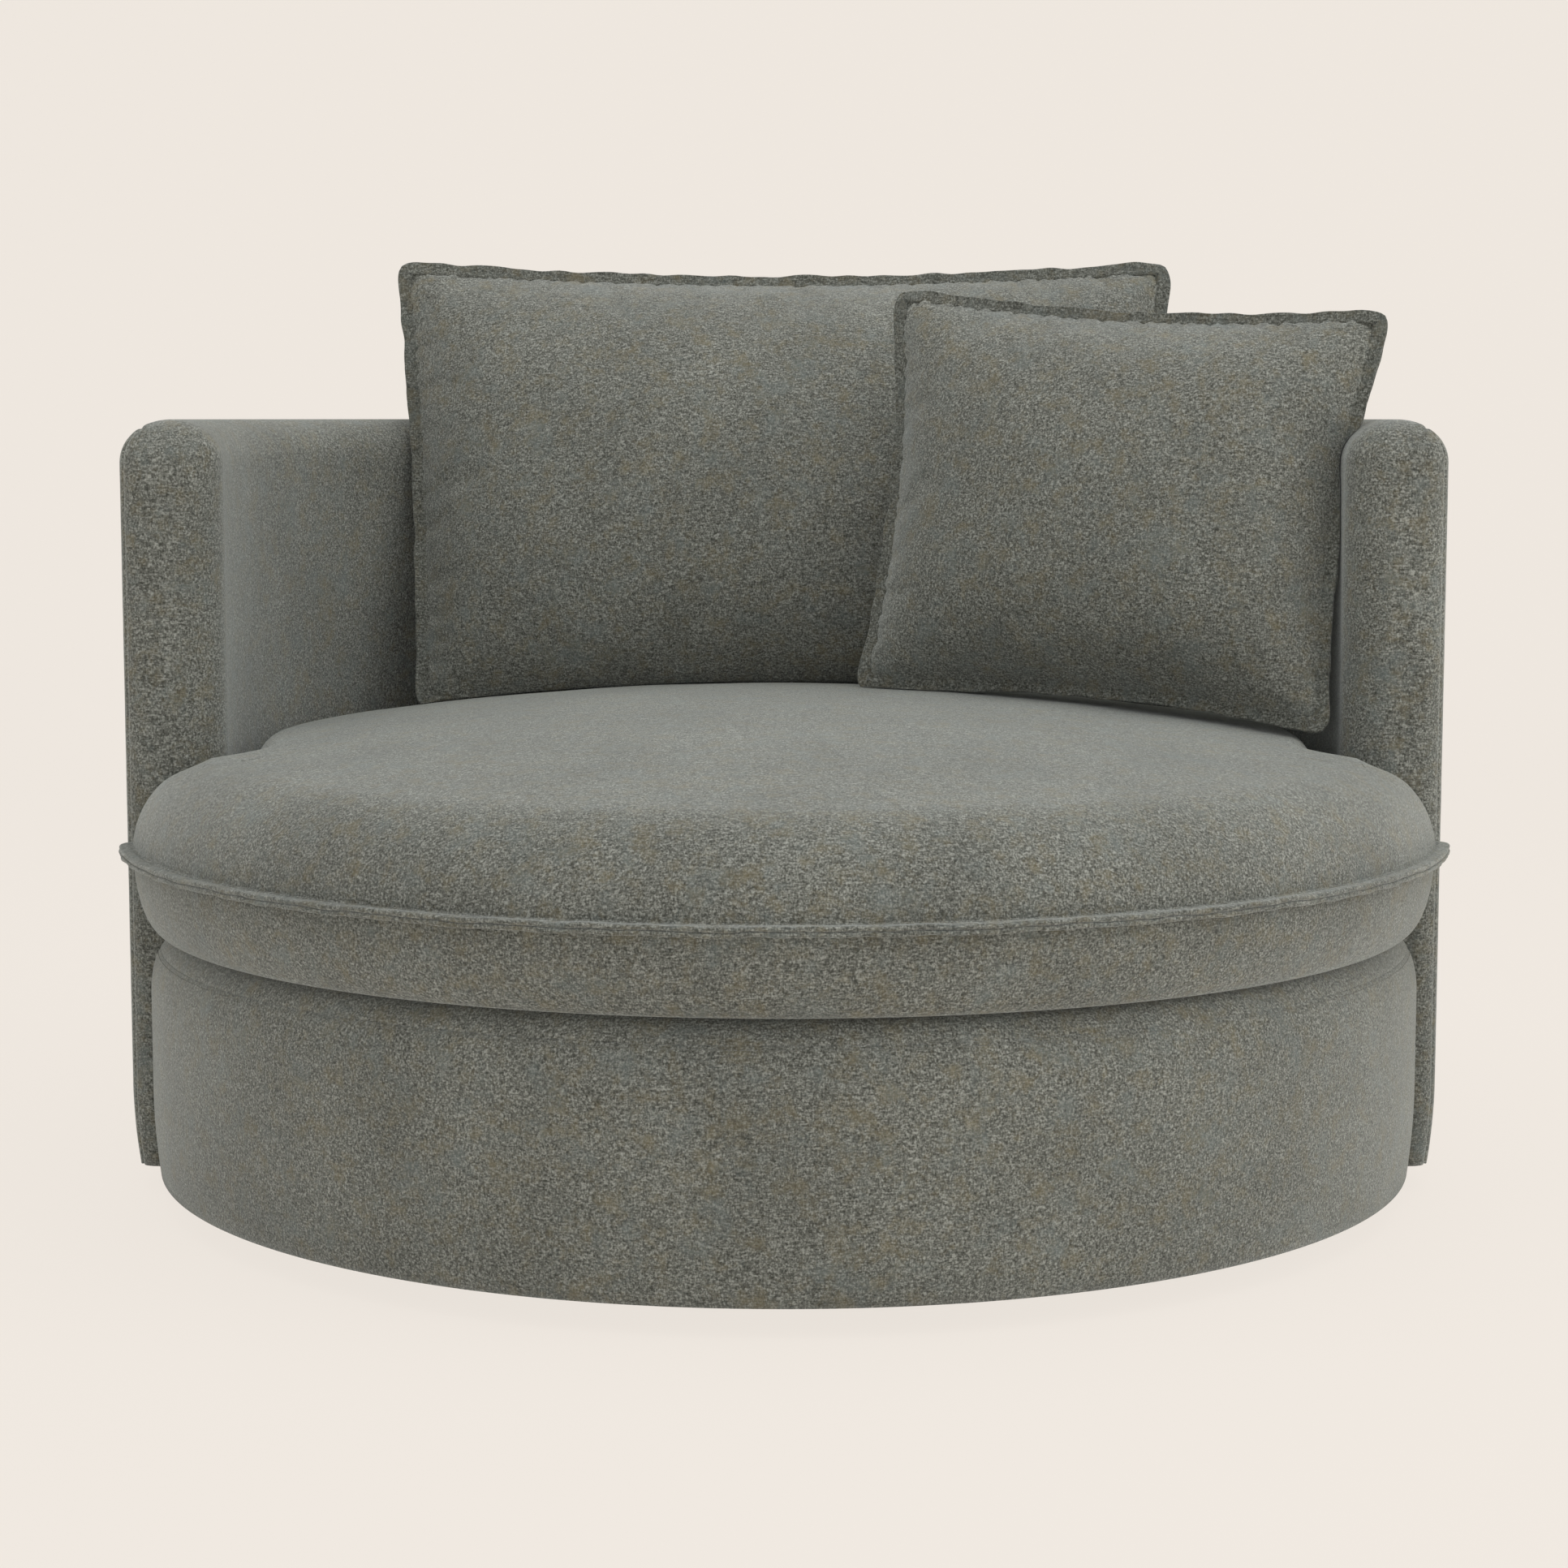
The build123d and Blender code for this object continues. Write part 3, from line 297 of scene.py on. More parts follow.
def press_seam(piece, path, depth, width, pucker, reach):
    """Presses a sewn seam into a piece along a path, with small puckers on both sides of it."""
    found = KDTree(len(path))
    for i, point in enumerate(path):
        found.insert(point, i)
    found.balance()
    steps = np.linalg.norm(np.diff(path, axis=0, append=path[:1]), axis=1)
    along = np.cumsum(steps) - steps
    waves = ripple(along, along[-1], (0.021, 0.034, 0.047, 0.013))
    points = places_of(piece)
    normals = np.zeros(len(points) * 3)
    piece.data.vertices.foreach_get("normal", normals)
    normals = normals.reshape(-1, 3)
    low, high = path.min(0) - 4 * reach, path.max(0) + 4 * reach
    close = np.where(((points > low) & (points < high)).all(1))[0]
    for i in close:
        _, nearest, gap = found.find(points[i])
        if gap < 4 * reach:
            push = -depth * exp(-((gap / width) ** 2)) + pucker * waves[nearest] * exp(-gap / reach)
            points[i] += normals[i] * push
    set_places(piece, points)


drum_front = 0.600
drum_back = 0.524
drum_step = 0.102
drum_corner = 0.004
drum_foot = 0.025
deck_height = 0.257
shoulder_width = 0.035
shoulder_height = 0.062
drum_seam_height = 0.236
cloth_thickness = 0.002


def drum_ring(inset, height):
    """The drum's plan at an inset, lifted to a height."""
    return at_height(tee_outline(drum_front, drum_back, drum_step, drum_corner, drum_corner, inset), height)


def shoulder(angle):
    """Inset and height of a point on the drum's elliptical shoulder."""
    return shoulder_width * (1 - cos(angle)), deck_height - shoulder_height * (1 - sin(angle))


seam_angle = asin(1 - (deck_height - drum_seam_height) / shoulder_height)
side = [(0.0565, drum_foot), (0.030, drum_foot), (0.0085, drum_foot)]
side += [(0.0055 * (1 - t) ** 2, drum_foot + 0.080 * t) for t in np.linspace(0, 1, 9)]
side += [(0, height) for height in np.linspace(0.115, 0.190, 8)]
side += [shoulder(a) for a in np.linspace(0, seam_angle - 0.18, 8)]
side += [shoulder(a) for a in np.linspace(seam_angle - 0.15, seam_angle, 8)]
lowest = drum_foot + cloth_thickness
inside = [(inset + cloth_thickness, max(height, lowest)) for inset, height in side[::-1]]
band = skin("drum_side_band", [drum_ring(*place) for place in side + inside], chenille, looped=True)

top = [shoulder(a) for a in np.linspace(seam_angle, seam_angle + 0.15, 8)]
top += [shoulder(a) for a in np.linspace(seam_angle + 0.18, pi / 2, 10)]
over = [drum_ring(*place) for place in top]
deck_middle = (0, -0.3, deck_height)
flat = [towards(over[-1], deck_middle, share) for share in np.linspace(0.97, 0, 24)]
under = [ring - (0, 0, cloth_thickness) for ring in flat[::-1]]
tucked = [drum_ring(inset + cloth_thickness, height - cloth_thickness) for inset, height in top[::-1]]
deck = skin("deck_cover_sewn", over + flat + under + tucked, chenille, looped=True)

drum_seam = drum_ring(*shoulder(seam_angle))
for piece in (band, deck):
    press_seam(piece, drum_seam, 0.0007, 0.0020, 0.0003, 0.010)
    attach(piece, "chair")
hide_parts("drum_side_cover", "drum_side_foam")
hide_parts("deck_cover", "deck_pad")


def stitch_maker():
    """A node tree that lays stitches of thread along a path."""
    tree = bpy.data.node_groups.new("stitches_along_a_path", "GeometryNodeTree")
    sockets = tree.interface
    sockets.new_socket("Geometry", in_out="OUTPUT", socket_type="NodeSocketGeometry")
    sockets.new_socket("Path", in_out="INPUT", socket_type="NodeSocketGeometry")
    for name in ("Pitch", "Stitch Length", "Thread Radius"):
        sockets.new_socket(name, in_out="INPUT", socket_type="NodeSocketFloat")
    sockets.new_socket("Thread", in_out="INPUT", socket_type="NodeSocketMaterial")
    given = add(tree, "NodeGroupInput").outputs
    path = add(tree, "GeometryNodeMeshToCurve", links={"Mesh": given["Path"]})
    spaced = add(tree, "GeometryNodeResampleCurve", {"mode": "LENGTH"})
    tree.links.new(path.outputs["Curve"], spaced.inputs["Curve"])
    tree.links.new(given["Pitch"], spaced.inputs["Length"])
    bead = add(tree, "GeometryNodeMeshUVSphere", {"Segments": 6, "Rings": 5, "Radius": 1})
    half = add(tree, "ShaderNodeMath", {"operation": "MULTIPLY", 1: 0.5}, {0: given["Stitch Length"]})
    size = add(tree, "ShaderNodeCombineXYZ", links={"X": half.outputs[0]})
    tree.links.new(given["Thread Radius"], size.inputs["Y"])
    tree.links.new(given["Thread Radius"], size.inputs["Z"])
    stitch = add(tree, "GeometryNodeTransform", links={"Geometry": bead.outputs["Mesh"]})
    tree.links.new(size.outputs[0], stitch.inputs["Scale"])
    lie = add(tree, "GeometryNodeInputTangent")
    turned = add(tree, "FunctionNodeAlignRotationToVector", {"axis": "X"}, {"Vector": lie.outputs[0]})
    uneven = add(tree, "FunctionNodeRandomValue", {"data_type": "FLOAT", "Seed": 7})
    uneven.inputs[2].default_value = 0.86
    uneven.inputs[3].default_value = 1.08
    laid = add(tree, "GeometryNodeInstanceOnPoints", links={"Points": spaced.outputs["Curve"]})
    tree.links.new(stitch.outputs["Geometry"], laid.inputs["Instance"])
    tree.links.new(turned.outputs["Rotation"], laid.inputs["Rotation"])
    tree.links.new(uneven.outputs[1], laid.inputs["Scale"])
    real = add(tree, "GeometryNodeRealizeInstances", links={"Geometry": laid.outputs["Instances"]})
    threaded = add(tree, "GeometryNodeSetMaterial", links={"Geometry": real.outputs["Geometry"]})
    tree.links.new(given["Thread"], threaded.inputs["Material"])
    result = add(tree, "NodeGroupOutput")
    tree.links.new(threaded.outputs["Geometry"], result.inputs["Geometry"])
    return tree


# Sewing thread is polyester, twisted and faintly glossy, dyed to match the cloth.
thread_finish, tree, shader, place = finish_material("grey_green_sewing_thread")
twist = add(tree, "ShaderNodeTexNoise", {"Scale": 2500, "Detail": 2}, {"Vector": place})
tone = add(tree, "ShaderNodeValToRGB", links={"Fac": twist.outputs["Fac"]})
tone.color_ramp.elements[0].color = linear("4d4e47")
tone.color_ramp.elements[1].color = linear("7f8078")
bump = add(tree, "ShaderNodeBump", {"Strength": 0.4, "Distance": 0.0002}, {"Height": twist.outputs["Fac"]})
tree.links.new(tone.outputs["Color"], shader.inputs["Base Color"])
tree.links.new(bump.outputs["Normal"], shader.inputs["Normal"])
shader.inputs["Roughness"].default_value = 0.55

stitching = stitch_maker()


def sew(name, path, closed, pitch, length, radius, body):
    """Stitches along a path, as a mesh that rides on a body."""
    points = np.asarray(path)
    edges = [(i, i + 1) for i in range(len(points) - 1)]
    if closed:
        edges.append((len(points) - 1, 0))
    line = bpy.data.meshes.new(name)
    line.from_pydata(points.tolist(), edges, [])
    piece = bpy.data.objects.new(name, line)
    bpy.context.collection.objects.link(piece)
    sewing = piece.modifiers.new("sewing", "NODES")
    sewing.node_group = stitching
    given = {"Pitch": pitch, "Stitch Length": length, "Thread Radius": radius, "Thread": thread_finish}
    for socket in stitching.interface.items_tree:
        if socket.name in given:
            sewing[socket.identifier] = given[socket.name]
    bpy.context.view_layer.update()
    sewn = bpy.data.meshes.new_from_object(piece.evaluated_get(bpy.context.evaluated_depsgraph_get()))
    piece.modifiers.remove(sewing)
    piece.data = sewn
    for face in sewn.polygons:
        face.use_smooth = True
    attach(piece, body)
    return piece


stitch_angle = seam_angle - 0.075
sew("drum_seam_stitches", drum_ring(*shoulder(stitch_angle)), True, 0.0055, 0.0042, 0.0005, "chair")


# Upholstery of the barrel shell: foam over the frame, an outer cover from the floor edge to a seam
# on the crest, and an inner cover that comes over the crest and round the fronts of the arms.
shell_outer = 0.620
shell_inner = 0.526
shell_top = 0.725
crest_height = 0.040
half_wall = (shell_outer - shell_inner) / 2
arm_front = 0.100
arm_outer_corner = 0.025
arm_inner_corner = 0.042
shell_seam_inset = 0.020
seam_turn = radians(32)


def shell_outline(inset):
    """The shell's C-shaped plan, moved inwards by inset, down to the line along its crest."""
    outer, inner, line = shell_outer - inset, shell_inner + inset, -arm_front + inset
    near, far = max(arm_outer_corner - inset, 0.0), max(arm_inner_corner - inset, 0.0)
    near_y, far_y = line + near, line + far
    near_x = sqrt((outer - near) ** 2 - near_y**2)
    far_x = sqrt((inner + far) ** 2 - far_y**2)
    near_turn, far_turn = atan2(near_y, near_x), atan2(far_y, far_x)
    return mirrored(
        np.vstack([
            arc((0, 0), outer, pi / 2, near_turn, 190),
            arc((near_x, near_y), near, near_turn, -pi / 2, 41)[1:],
            arc((far_x, far_y), far, -pi / 2, far_turn - pi, 30),
            arc((0, 0), inner, far_turn, pi / 2, 190)[1:],
        ])
    )


def crest(angle):
    """Inset and height of a point on the shell's bullnosed top."""
    return half_wall * (1 - cos(angle)), shell_top - crest_height * (1 - sin(angle))


crest_seam_angle = acos(1 - shell_seam_inset / half_wall)
wall = [(0.006 * (1 - t) ** 2, drum_foot + 0.080 * t) for t in np.linspace(0, 1, 9)]
wall += [(0, height) for height in np.linspace(0.13, 0.675, 26)]
wall += [crest(a) for a in np.linspace(0, crest_seam_angle - 0.2, 10)]
wall += [crest(a) for a in np.linspace(crest_seam_angle - 0.16, crest_seam_angle + 0.16, 17)]
wall += [crest(a) for a in np.linspace(crest_seam_angle + 0.2, pi / 2, 9)]
edge = [at_height(shell_outline(i), drum_foot) for i in (half_wall, 0.045, 0.03, 0.014)]
rings = edge + [at_height(shell_outline(inset), height) for inset, height in wall]
shell = skin("shell_upholstery", rings, chenille)

seam_column = 189 + round(40 * seam_turn / (pi / 2))
crest_ring = at_height(shell_outline(shell_seam_inset), crest(crest_seam_angle)[1])
over_crest = crest_ring[: seam_column + 1]
at_corner = [ring[seam_column] for ring in rings[:3:-1]]
down_corner = np.array([point for point in at_corner if point[2] < over_crest[-1][2]])
half_seam = np.vstack([over_crest, down_corner])
shell_seam = np.vstack([half_seam[::-1] * (-1, 1, 1), half_seam[1:]])
press_seam(shell, shell_seam, 0.0014, 0.0022, 0.0003, 0.010)
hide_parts("shell_outer_cover", "shell_inner_cover", "shell_foam")
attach(shell, "chair")


# Dust cover: thin black polypropylene fleece, pulled flat under the bottom panel and stapled round
# both of its edges, so that it dips a little between the staples.
fleece, tree, shader, place = finish_material("black_polypropylene_fleece")
fibre = add(tree, "ShaderNodeTexNoise", {"Scale": 700, "Detail": 5}, {"Vector": place})
tone = add(tree, "ShaderNodeValToRGB", links={"Fac": fibre.outputs["Fac"]})
tone.color_ramp.elements[0].color = linear("16171a")
tone.color_ramp.elements[1].color = linear("37383b")
bump = add(tree, "ShaderNodeBump", {"Strength": 0.4, "Distance": 0.0003}, {"Height": fibre.outputs["Fac"]})
tree.links.new(tone.outputs["Color"], shader.inputs["Base Color"])
tree.links.new(bump.outputs["Normal"], shader.inputs["Normal"])
shader.inputs["Roughness"].default_value = 0.85

fleece_reach = (0.152, 0.542)
fleece_top = 0.0268
fleece_thickness = 0.0006
turn = np.linspace(0, 2 * pi, 193)[:-1]
upper = []
for share in np.linspace(0, 1, 27):
    reach = fleece_reach[0] + (fleece_reach[1] - fleece_reach[0]) * share
    dip = 0.0007 * np.sin(pi * share) ** 2 * (1 + 0.5 * np.sin(24 * turn) * share)
    upper.append(np.column_stack((reach * np.cos(turn), reach * np.sin(turn), fleece_top - dip)))
lower = [ring - (0, 0, fleece_thickness) for ring in upper[::-1]]
dust_sheet = skin("dust_cover_sheet", upper + lower, fleece, looped=True)
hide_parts("dust_cover")
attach(dust_sheet, "chair")


# Deck webbing: two layers of elastic straps, one across and one lengthwise, stapled to the deck's ring.
# The rubber in them shows as fine ribs.
webbing, tree, shader, place = finish_material("elastic_webbing")
rib = add(tree, "ShaderNodeTexWave", {"Scale": 160, "Distortion": 0.4, "Detail": 2}, {"Vector": place})
tone = add(tree, "ShaderNodeValToRGB", links={"Fac": rib.outputs["Fac"]})
tone.color_ramp.elements[0].color = linear("8f8b80")
tone.color_ramp.elements[1].color = linear("c9c4b6")
bump = add(tree, "ShaderNodeBump", {"Strength": 0.4, "Distance": 0.0004}, {"Height": rib.outputs["Fac"]})
tree.links.new(tone.outputs["Color"], shader.inputs["Base Color"])
tree.links.new(bump.outputs["Normal"], shader.inputs["Normal"])
shader.inputs["Roughness"].default_value = 0.8
dress(webbing, "webbing_across", "webbing_lengthwise")


# Seat cushion: a foam core in wadding, in a cover of two halves sewn with a flat double edge all
# round. It is full and crowned, lies loose on the deck, and narrows behind to fit between the arms.
seat_front = 0.614
seat_back = 0.510
seat_step = 0.115
seat_ear = 0.010
seat_notch = 0.022
seat_seam_height = 0.3313
seat_bottom = 0.2573
seat_crown = 0.134
seat_edge = 0.088
seat_lower = 0.024
seat_middle = (0, -0.3)


def seat_ring(inset):
    """The seat cushion's plan at an inset."""
    return tee_outline(seat_front, seat_back, seat_step, seat_ear, seat_notch, inset)


def seat_rise(plan):
    """Height of the seat's crown over its seam, at points of its plan."""
    reach = np.hypot(plan[:, 0], plan[:, 1])
    edge_centre = seat_front - seat_edge
    broad = (edge_centre**2 + seat_crown**2 - seat_edge**2) / (2 * (seat_crown - seat_edge))
    meeting = broad * sin(atan2(edge_centre, broad - seat_crown))
    over_edge = np.clip(reach - edge_centre, 0, seat_edge)
    rise = np.sqrt(seat_edge**2 - over_edge**2)
    inner = reach < meeting
    rise[inner] = seat_crown - broad + np.sqrt(broad**2 - reach[inner] ** 2)
    notch_x = sqrt(seat_back**2 - seat_step**2)
    beside = np.hypot(np.clip(notch_x - abs(plan[:, 0]), 0, None), -seat_step - plan[:, 1])
    behind = np.where(plan[:, 1] < -seat_step, beside, seat_back - reach)
    depth = np.clip(behind / 0.03, 0, 1)
    return rise * (1 - (1 - depth) ** 2.4) ** (1 / 2.4)


def crowned(plan):
    """Points of the seat's top over a plan, with the slight unevenness of wadding."""
    x, y = plan[:, 0], plan[:, 1]
    uneven = np.sin(19 * x + 1) * np.cos(23 * y) + np.sin(41 * x - 33 * y)
    rise = seat_rise(plan)
    return np.column_stack((plan, seat_seam_height + rise - 0.0006 * (1 + uneven / 2) * rise / seat_crown))


seat_upper = [crowned(seat_ring(seat_edge * (1 - cos(a)))) for a in np.linspace(0.02, pi / 2, 26)]
inner_ring = seat_ring(seat_edge)
for share in np.linspace(0.97, 0, 34):
    for _ in range(14):
        inner_ring = (np.roll(inner_ring, 1, axis=0) + 2 * inner_ring + np.roll(inner_ring, -1, axis=0)) / 4
    seat_upper.append(crowned(towards(inner_ring, seat_middle, share)))
seat_under = []
for angle in np.linspace(pi / 2, 0.02, 14):
    height = seat_seam_height - (seat_seam_height - seat_bottom) * sin(angle)
    seat_under.append(at_height(seat_ring(seat_lower * (1 - cos(angle))), height))
base = [towards(seat_under[0], (*seat_middle, seat_bottom), share) for share in np.linspace(0, 0.97, 16)]
seat = skin("seat_cushion_cover", base + seat_under + seat_upper, chenille)


def outward_of(outline):
    """Directions square to a closed plan outline, pointing outwards."""
    along = np.roll(outline, -1, axis=0) - np.roll(outline, 1, axis=0)
    along /= np.linalg.norm(along, axis=1)[:, None]
    return np.column_stack((along[:, 1], -along[:, 0]))


def double_edge(name, seam, outward, upward, width, layer, flare, wave, material):
    """Two folded layers of cloth sewn flat round a seam, with a crease between their folds."""
    steps = np.linalg.norm(np.diff(seam, axis=0, append=seam[:1]), axis=1)
    along = (np.cumsum(steps) - steps)[:, None]
    total = float(steps.sum())
    sway = ripple(along, total, (0.19, 0.11, 0.067, 0.043))
    fold = layer / 2
    rings = []
    for side, pitches in ((1, (0.083, 0.051, 0.031)), (-1, (0.072, 0.046, 0.027))):
        pinch = ripple(along, total, pitches)
        section = [(-0.005, 1.5 * flare), (0.0, flare), (0.0018, 0.72 * flare)]
        section.append((0.0042, 0.25 * flare + 0.75 * layer))
        section += [(0.5 * width, layer), (0.72 * width, 0.98 * layer)]
        for angle in np.linspace(pi / 2, -pi / 2, 7):
            section.append((width - fold * (1 - cos(angle)), fold * (1 + sin(angle))))
        section += [(width - 1.6 * fold, 0.00005)]
        half = []
        for out, up in section:
            share = min(max(out, 0) / width, 1)
            swell = 1 + 0.16 * pinch * share
            out_by = out + share**2 * wave * (0.7 * sway + 0.35 * pinch)
            half.append(seam + outward * out_by + upward * (side * up * swell + wave * sway * share**1.5))
        rings += half if side == 1 else half[::-1]
    return skin(name, rings, material, looped=True)


seam_plan = seat_ring(0)
seat_seam = at_height(seam_plan, seat_seam_height)
outward = np.column_stack((outward_of(seam_plan), np.zeros(len(seam_plan))))
upward = np.tile((0, 0, 1.0), (len(seam_plan), 1))
seat_edge_sizes = {"width": 0.013, "layer": 0.0044, "flare": 0.0052, "wave": 0.0016}
seat_rim = double_edge("seat_cushion_edge", seat_seam, outward, upward, **seat_edge_sizes, material=chenille)
press_seam(seat, seat_seam, 0, 0.002, 0.0008, 0.016)
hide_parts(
    "seat_cushion_core", "seat_cushion_top_wrap", "seat_cushion_bottom_wrap",
    "seat_cushion_top_cover", "seat_cushion_bottom_cover",
)
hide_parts("seat_cushion_flange")
for piece in (seat, seat_rim):
    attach(piece, "seat_cushion")


# Back cushion and throw pillow: covers of two panels with a flat double edge, stuffed with fibre.
# They are fullest in the middle, thin at the corners and drawn in along their sides.
def loose_cover(name, axes, halves, bows, crowns, columns, rows):
    """A knife-edged cover of two panels, and the numbers of its seam's points."""
    origin, across, upright, normal = axes
    top_half, bottom_half, half_height = halves
    ease = 0.93 * pi / 2
    a, b = np.meshgrid(np.linspace(-1, 1, columns), np.linspace(-1, 1, rows))
    a, b = np.sin(a * ease) / sin(ease), np.sin(b * ease) / sin(ease)
    corner, turn_in = 0.016, 0.0032
    half_width = bottom_half + (top_half - bottom_half) * (b + 1) / 2
    drawn_a = 1 - turn_in / half_width * abs(b) ** (2.3 * half_height / corner)
    drawn_b = 1 - turn_in / half_height * abs(a) ** (2.3 * half_width / corner)
    u = a * drawn_a * (half_width + bows[0] * (1 - b**2))
    v = b * drawn_b * (half_height + np.where(b > 0, bows[1], bows[2]) * (1 - a**2))
    form = (np.clip(1 - abs(a) ** 2.3, 0, 1) * np.clip(1 - abs(b) ** 2.3, 0, 1)) ** 0.6
    flat = origin + u[..., None] * across + v[..., None] * upright
    front = (flat + (form * crowns[0])[..., None] * normal).reshape(-1, 3)
    rear = (flat - (form * crowns[1])[..., None] * normal).reshape(-1, 3)
    cell = np.arange(rows * columns).reshape(rows, columns)
    quads = np.stack((cell[:-1, :-1], cell[:-1, 1:], cell[1:, 1:], cell[1:, :-1]), -1).reshape(-1, 4)
    faces = quads.tolist() + (quads[:, ::-1] + rows * columns).tolist()
    piece = piece_of(name, np.vstack([front, rear]), faces, chenille)
    rim = np.concatenate([cell[0, :-1], cell[:-1, -1], cell[-1, :0:-1], cell[:0:-1, 0]])
    return piece, np.column_stack((u.ravel()[rim], v.ravel()[rim]))


def plump(piece, seam, pressure, spare, limit):
    """Fills a cover in a cloth simulation that holds its seam, and keeps the result up to a limit."""
    start = places_of(piece)
    found = KDTree(len(seam))
    for i, point in enumerate(seam):
        found.insert(point, i)
    found.balance()
    held = piece.vertex_groups.new(name="seam")
    held.add([i for i, point in enumerate(start) if found.find(point)[2] < 0.0005], 1.0, "REPLACE")
    filling = piece.modifiers.new("filling", "CLOTH")
    cloth = filling.settings
    cloth.quality = 5
    cloth.mass = 0.25
    cloth.tension_stiffness = 12
    cloth.compression_stiffness = 12
    cloth.shear_stiffness = 4
    cloth.bending_stiffness = 0.4
    cloth.use_pressure = True
    cloth.uniform_pressure_force = pressure
    cloth.shrink_min = -spare
    cloth.vertex_group_mass = "seam"
    cloth.effector_weights.gravity = 0
    filling.point_cache.frame_end = 20
    scene = bpy.context.scene
    for frame_number in range(1, 21):
        scene.frame_set(frame_number)
    swollen = piece.evaluated_get(bpy.context.evaluated_depsgraph_get())
    points = np.zeros(len(start) * 3)
    swollen.data.vertices.foreach_get("co", points)
    piece.modifiers.remove(filling)
    piece.vertex_groups.clear()
    scene.frame_set(1)
    move = points.reshape(-1, 3) - start
    length = np.linalg.norm(move, axis=1)[:, None]
    set_places(piece, start + move * limit * np.tanh(length / limit) / np.maximum(length, 1e-9))


def keep_clear(piece, gap):
    """Moves a loose piece's points out of the seat's crown and the shell's inner wall."""
    points = places_of(piece)
    reach = np.hypot(points[:, 0], points[:, 1])
    over = reach < seat_front - 0.002
    ground = np.full(len(points), -1.0)
    ground[over] = seat_seam_height + seat_rise(points[over, :2]) + gap
    points[:, 2] = np.maximum(points[:, 2], ground)
    height = np.clip((points[:, 2] - (shell_top - crest_height)) / crest_height, 0, 1)
    limit = shell_inner - 3 * gap + half_wall * (1 - np.sqrt(np.clip(1 - height**2, 0, 1)))
    inside = (points[:, 2] < shell_top) & (reach > limit) & (points[:, 1] > -arm_front)
    points[:, :2] *= np.where(inside, limit / np.maximum(reach, 1e-9), 1)[:, None]
    set_places(piece, points)


def keep_off(piece, other, direction, gap):
    """Moves a piece's points along a direction until they lie off another piece's near side."""
    tree = BVHTree.FromObject(other, bpy.context.evaluated_depsgraph_get())
    points = places_of(piece)
    way = Vector(direction)
    for i, point in enumerate(points):
        start = Vector(point) + way * 0.3
        hit = tree.ray_cast(start, -way, 0.3 + gap)[0]
        if hit is not None:
            points[i] = hit + way * gap
    set_places(piece, points)


def edge_of(name, rim, axes, width, layer, flare, wave):
    """The flat double edge round a loose cover."""
    origin, across, upright, normal = axes
    out = outward_of(rim)
    seam = origin + rim[:, :1] * across + rim[:, 1:] * upright
    outward = out[:, :1] * across + out[:, 1:] * upright
    upward = np.tile(normal, (len(rim), 1))
    # The edge takes the darker copy of the cloth, whose tones are painted shade.
    return double_edge(name, seam, outward, upward, width, layer, flare, wave, painted_shade_chenille)


def seam_of(rim, axes):
    """A loose cover's seam as points in space."""
    return axes[0] + rim[:, :1] * axes[1] + rim[:, 1:] * axes[2]


# Their edges are the same cloth in darker tones, a painted shade: it stands in for the darker look of the
# flat edges, which face the view while the cover beside them curves away.
painted_shade_chenille = chenille_cloth(
    "edge_chenille_with_painted_shade", 0.0016, "84867f", "585952", "32332e", "625a44", "5b6260",
)
lean = radians(18)
back_middle = (0, 0.326, 0.658)
back_axes = [back_middle, (1.0, 0, 0), (0, sin(lean), cos(lean)), (0, -cos(lean), sin(lean))]
back_axes = [np.array(axis) for axis in back_axes]
back_halves = (0.402, 0.372, 0.236)
back_bows = (-0.007, -0.017, -0.007)
back_crowns = (0.098, 0.092)
back, back_rim = loose_cover(
    "back_cushion_cover", back_axes, back_halves, back_bows, back_crowns, 150, 90,
)
plump(back, seam_of(back_rim, back_axes), 4, 0.012, 0.026)
press_seam(back, seam_of(back_rim, back_axes), 0, 0.002, 0.0012, 0.018)
keep_clear(back, 0.0006)
back_edge = edge_of("back_cushion_edge", back_rim, back_axes, 0.0096, 0.0025, 0.003, 0.0020)
keep_clear(back_edge, 0.0006)
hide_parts("back_cushion_filling", "back_cushion_front_cover", "back_cushion_rear_cover")
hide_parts("back_cushion_flange")
for piece in (back, back_edge):
    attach(piece, "back_cushion")

yaw, tilt, roll = radians(20), radians(13), radians(3.3)
normal = np.array((-sin(yaw) * cos(tilt), -cos(yaw) * cos(tilt), sin(tilt)))
level = np.array((cos(yaw), -sin(yaw), 0))
steep = np.cross(normal, level)
across = level * cos(roll) - steep * sin(roll)
upright = steep * cos(roll) + level * sin(roll)
pillow_middle = np.array((0.316, 0.050, 0.643))
pillow_axes = [pillow_middle, across, upright, normal]
pillow_halves = (0.240, 0.227, 0.196)
pillow_bows = (-0.016, -0.014, -0.016)
pillow_crowns = (0.076, 0.072)
pillow, pillow_rim = loose_cover(
    "throw_pillow_cover", pillow_axes, pillow_halves, pillow_bows, pillow_crowns, 104, 100,
)
plump(pillow, seam_of(pillow_rim, pillow_axes), 4, 0.012, 0.022)
press_seam(pillow, seam_of(pillow_rim, pillow_axes), 0, 0.002, 0.0012, 0.018)
pillow_edge = edge_of("throw_pillow_edge", pillow_rim, pillow_axes, 0.0087, 0.0024, 0.0029, 0.0020)
for piece in (pillow, pillow_edge):
    keep_off(piece, back, back_axes[3], 0.001)
    keep_clear(piece, 0.0006)
    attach(piece, "throw_pillow")
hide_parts("throw_pillow_filling", "throw_pillow_front_cover", "throw_pillow_rear_cover")
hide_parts("throw_pillow_flange")


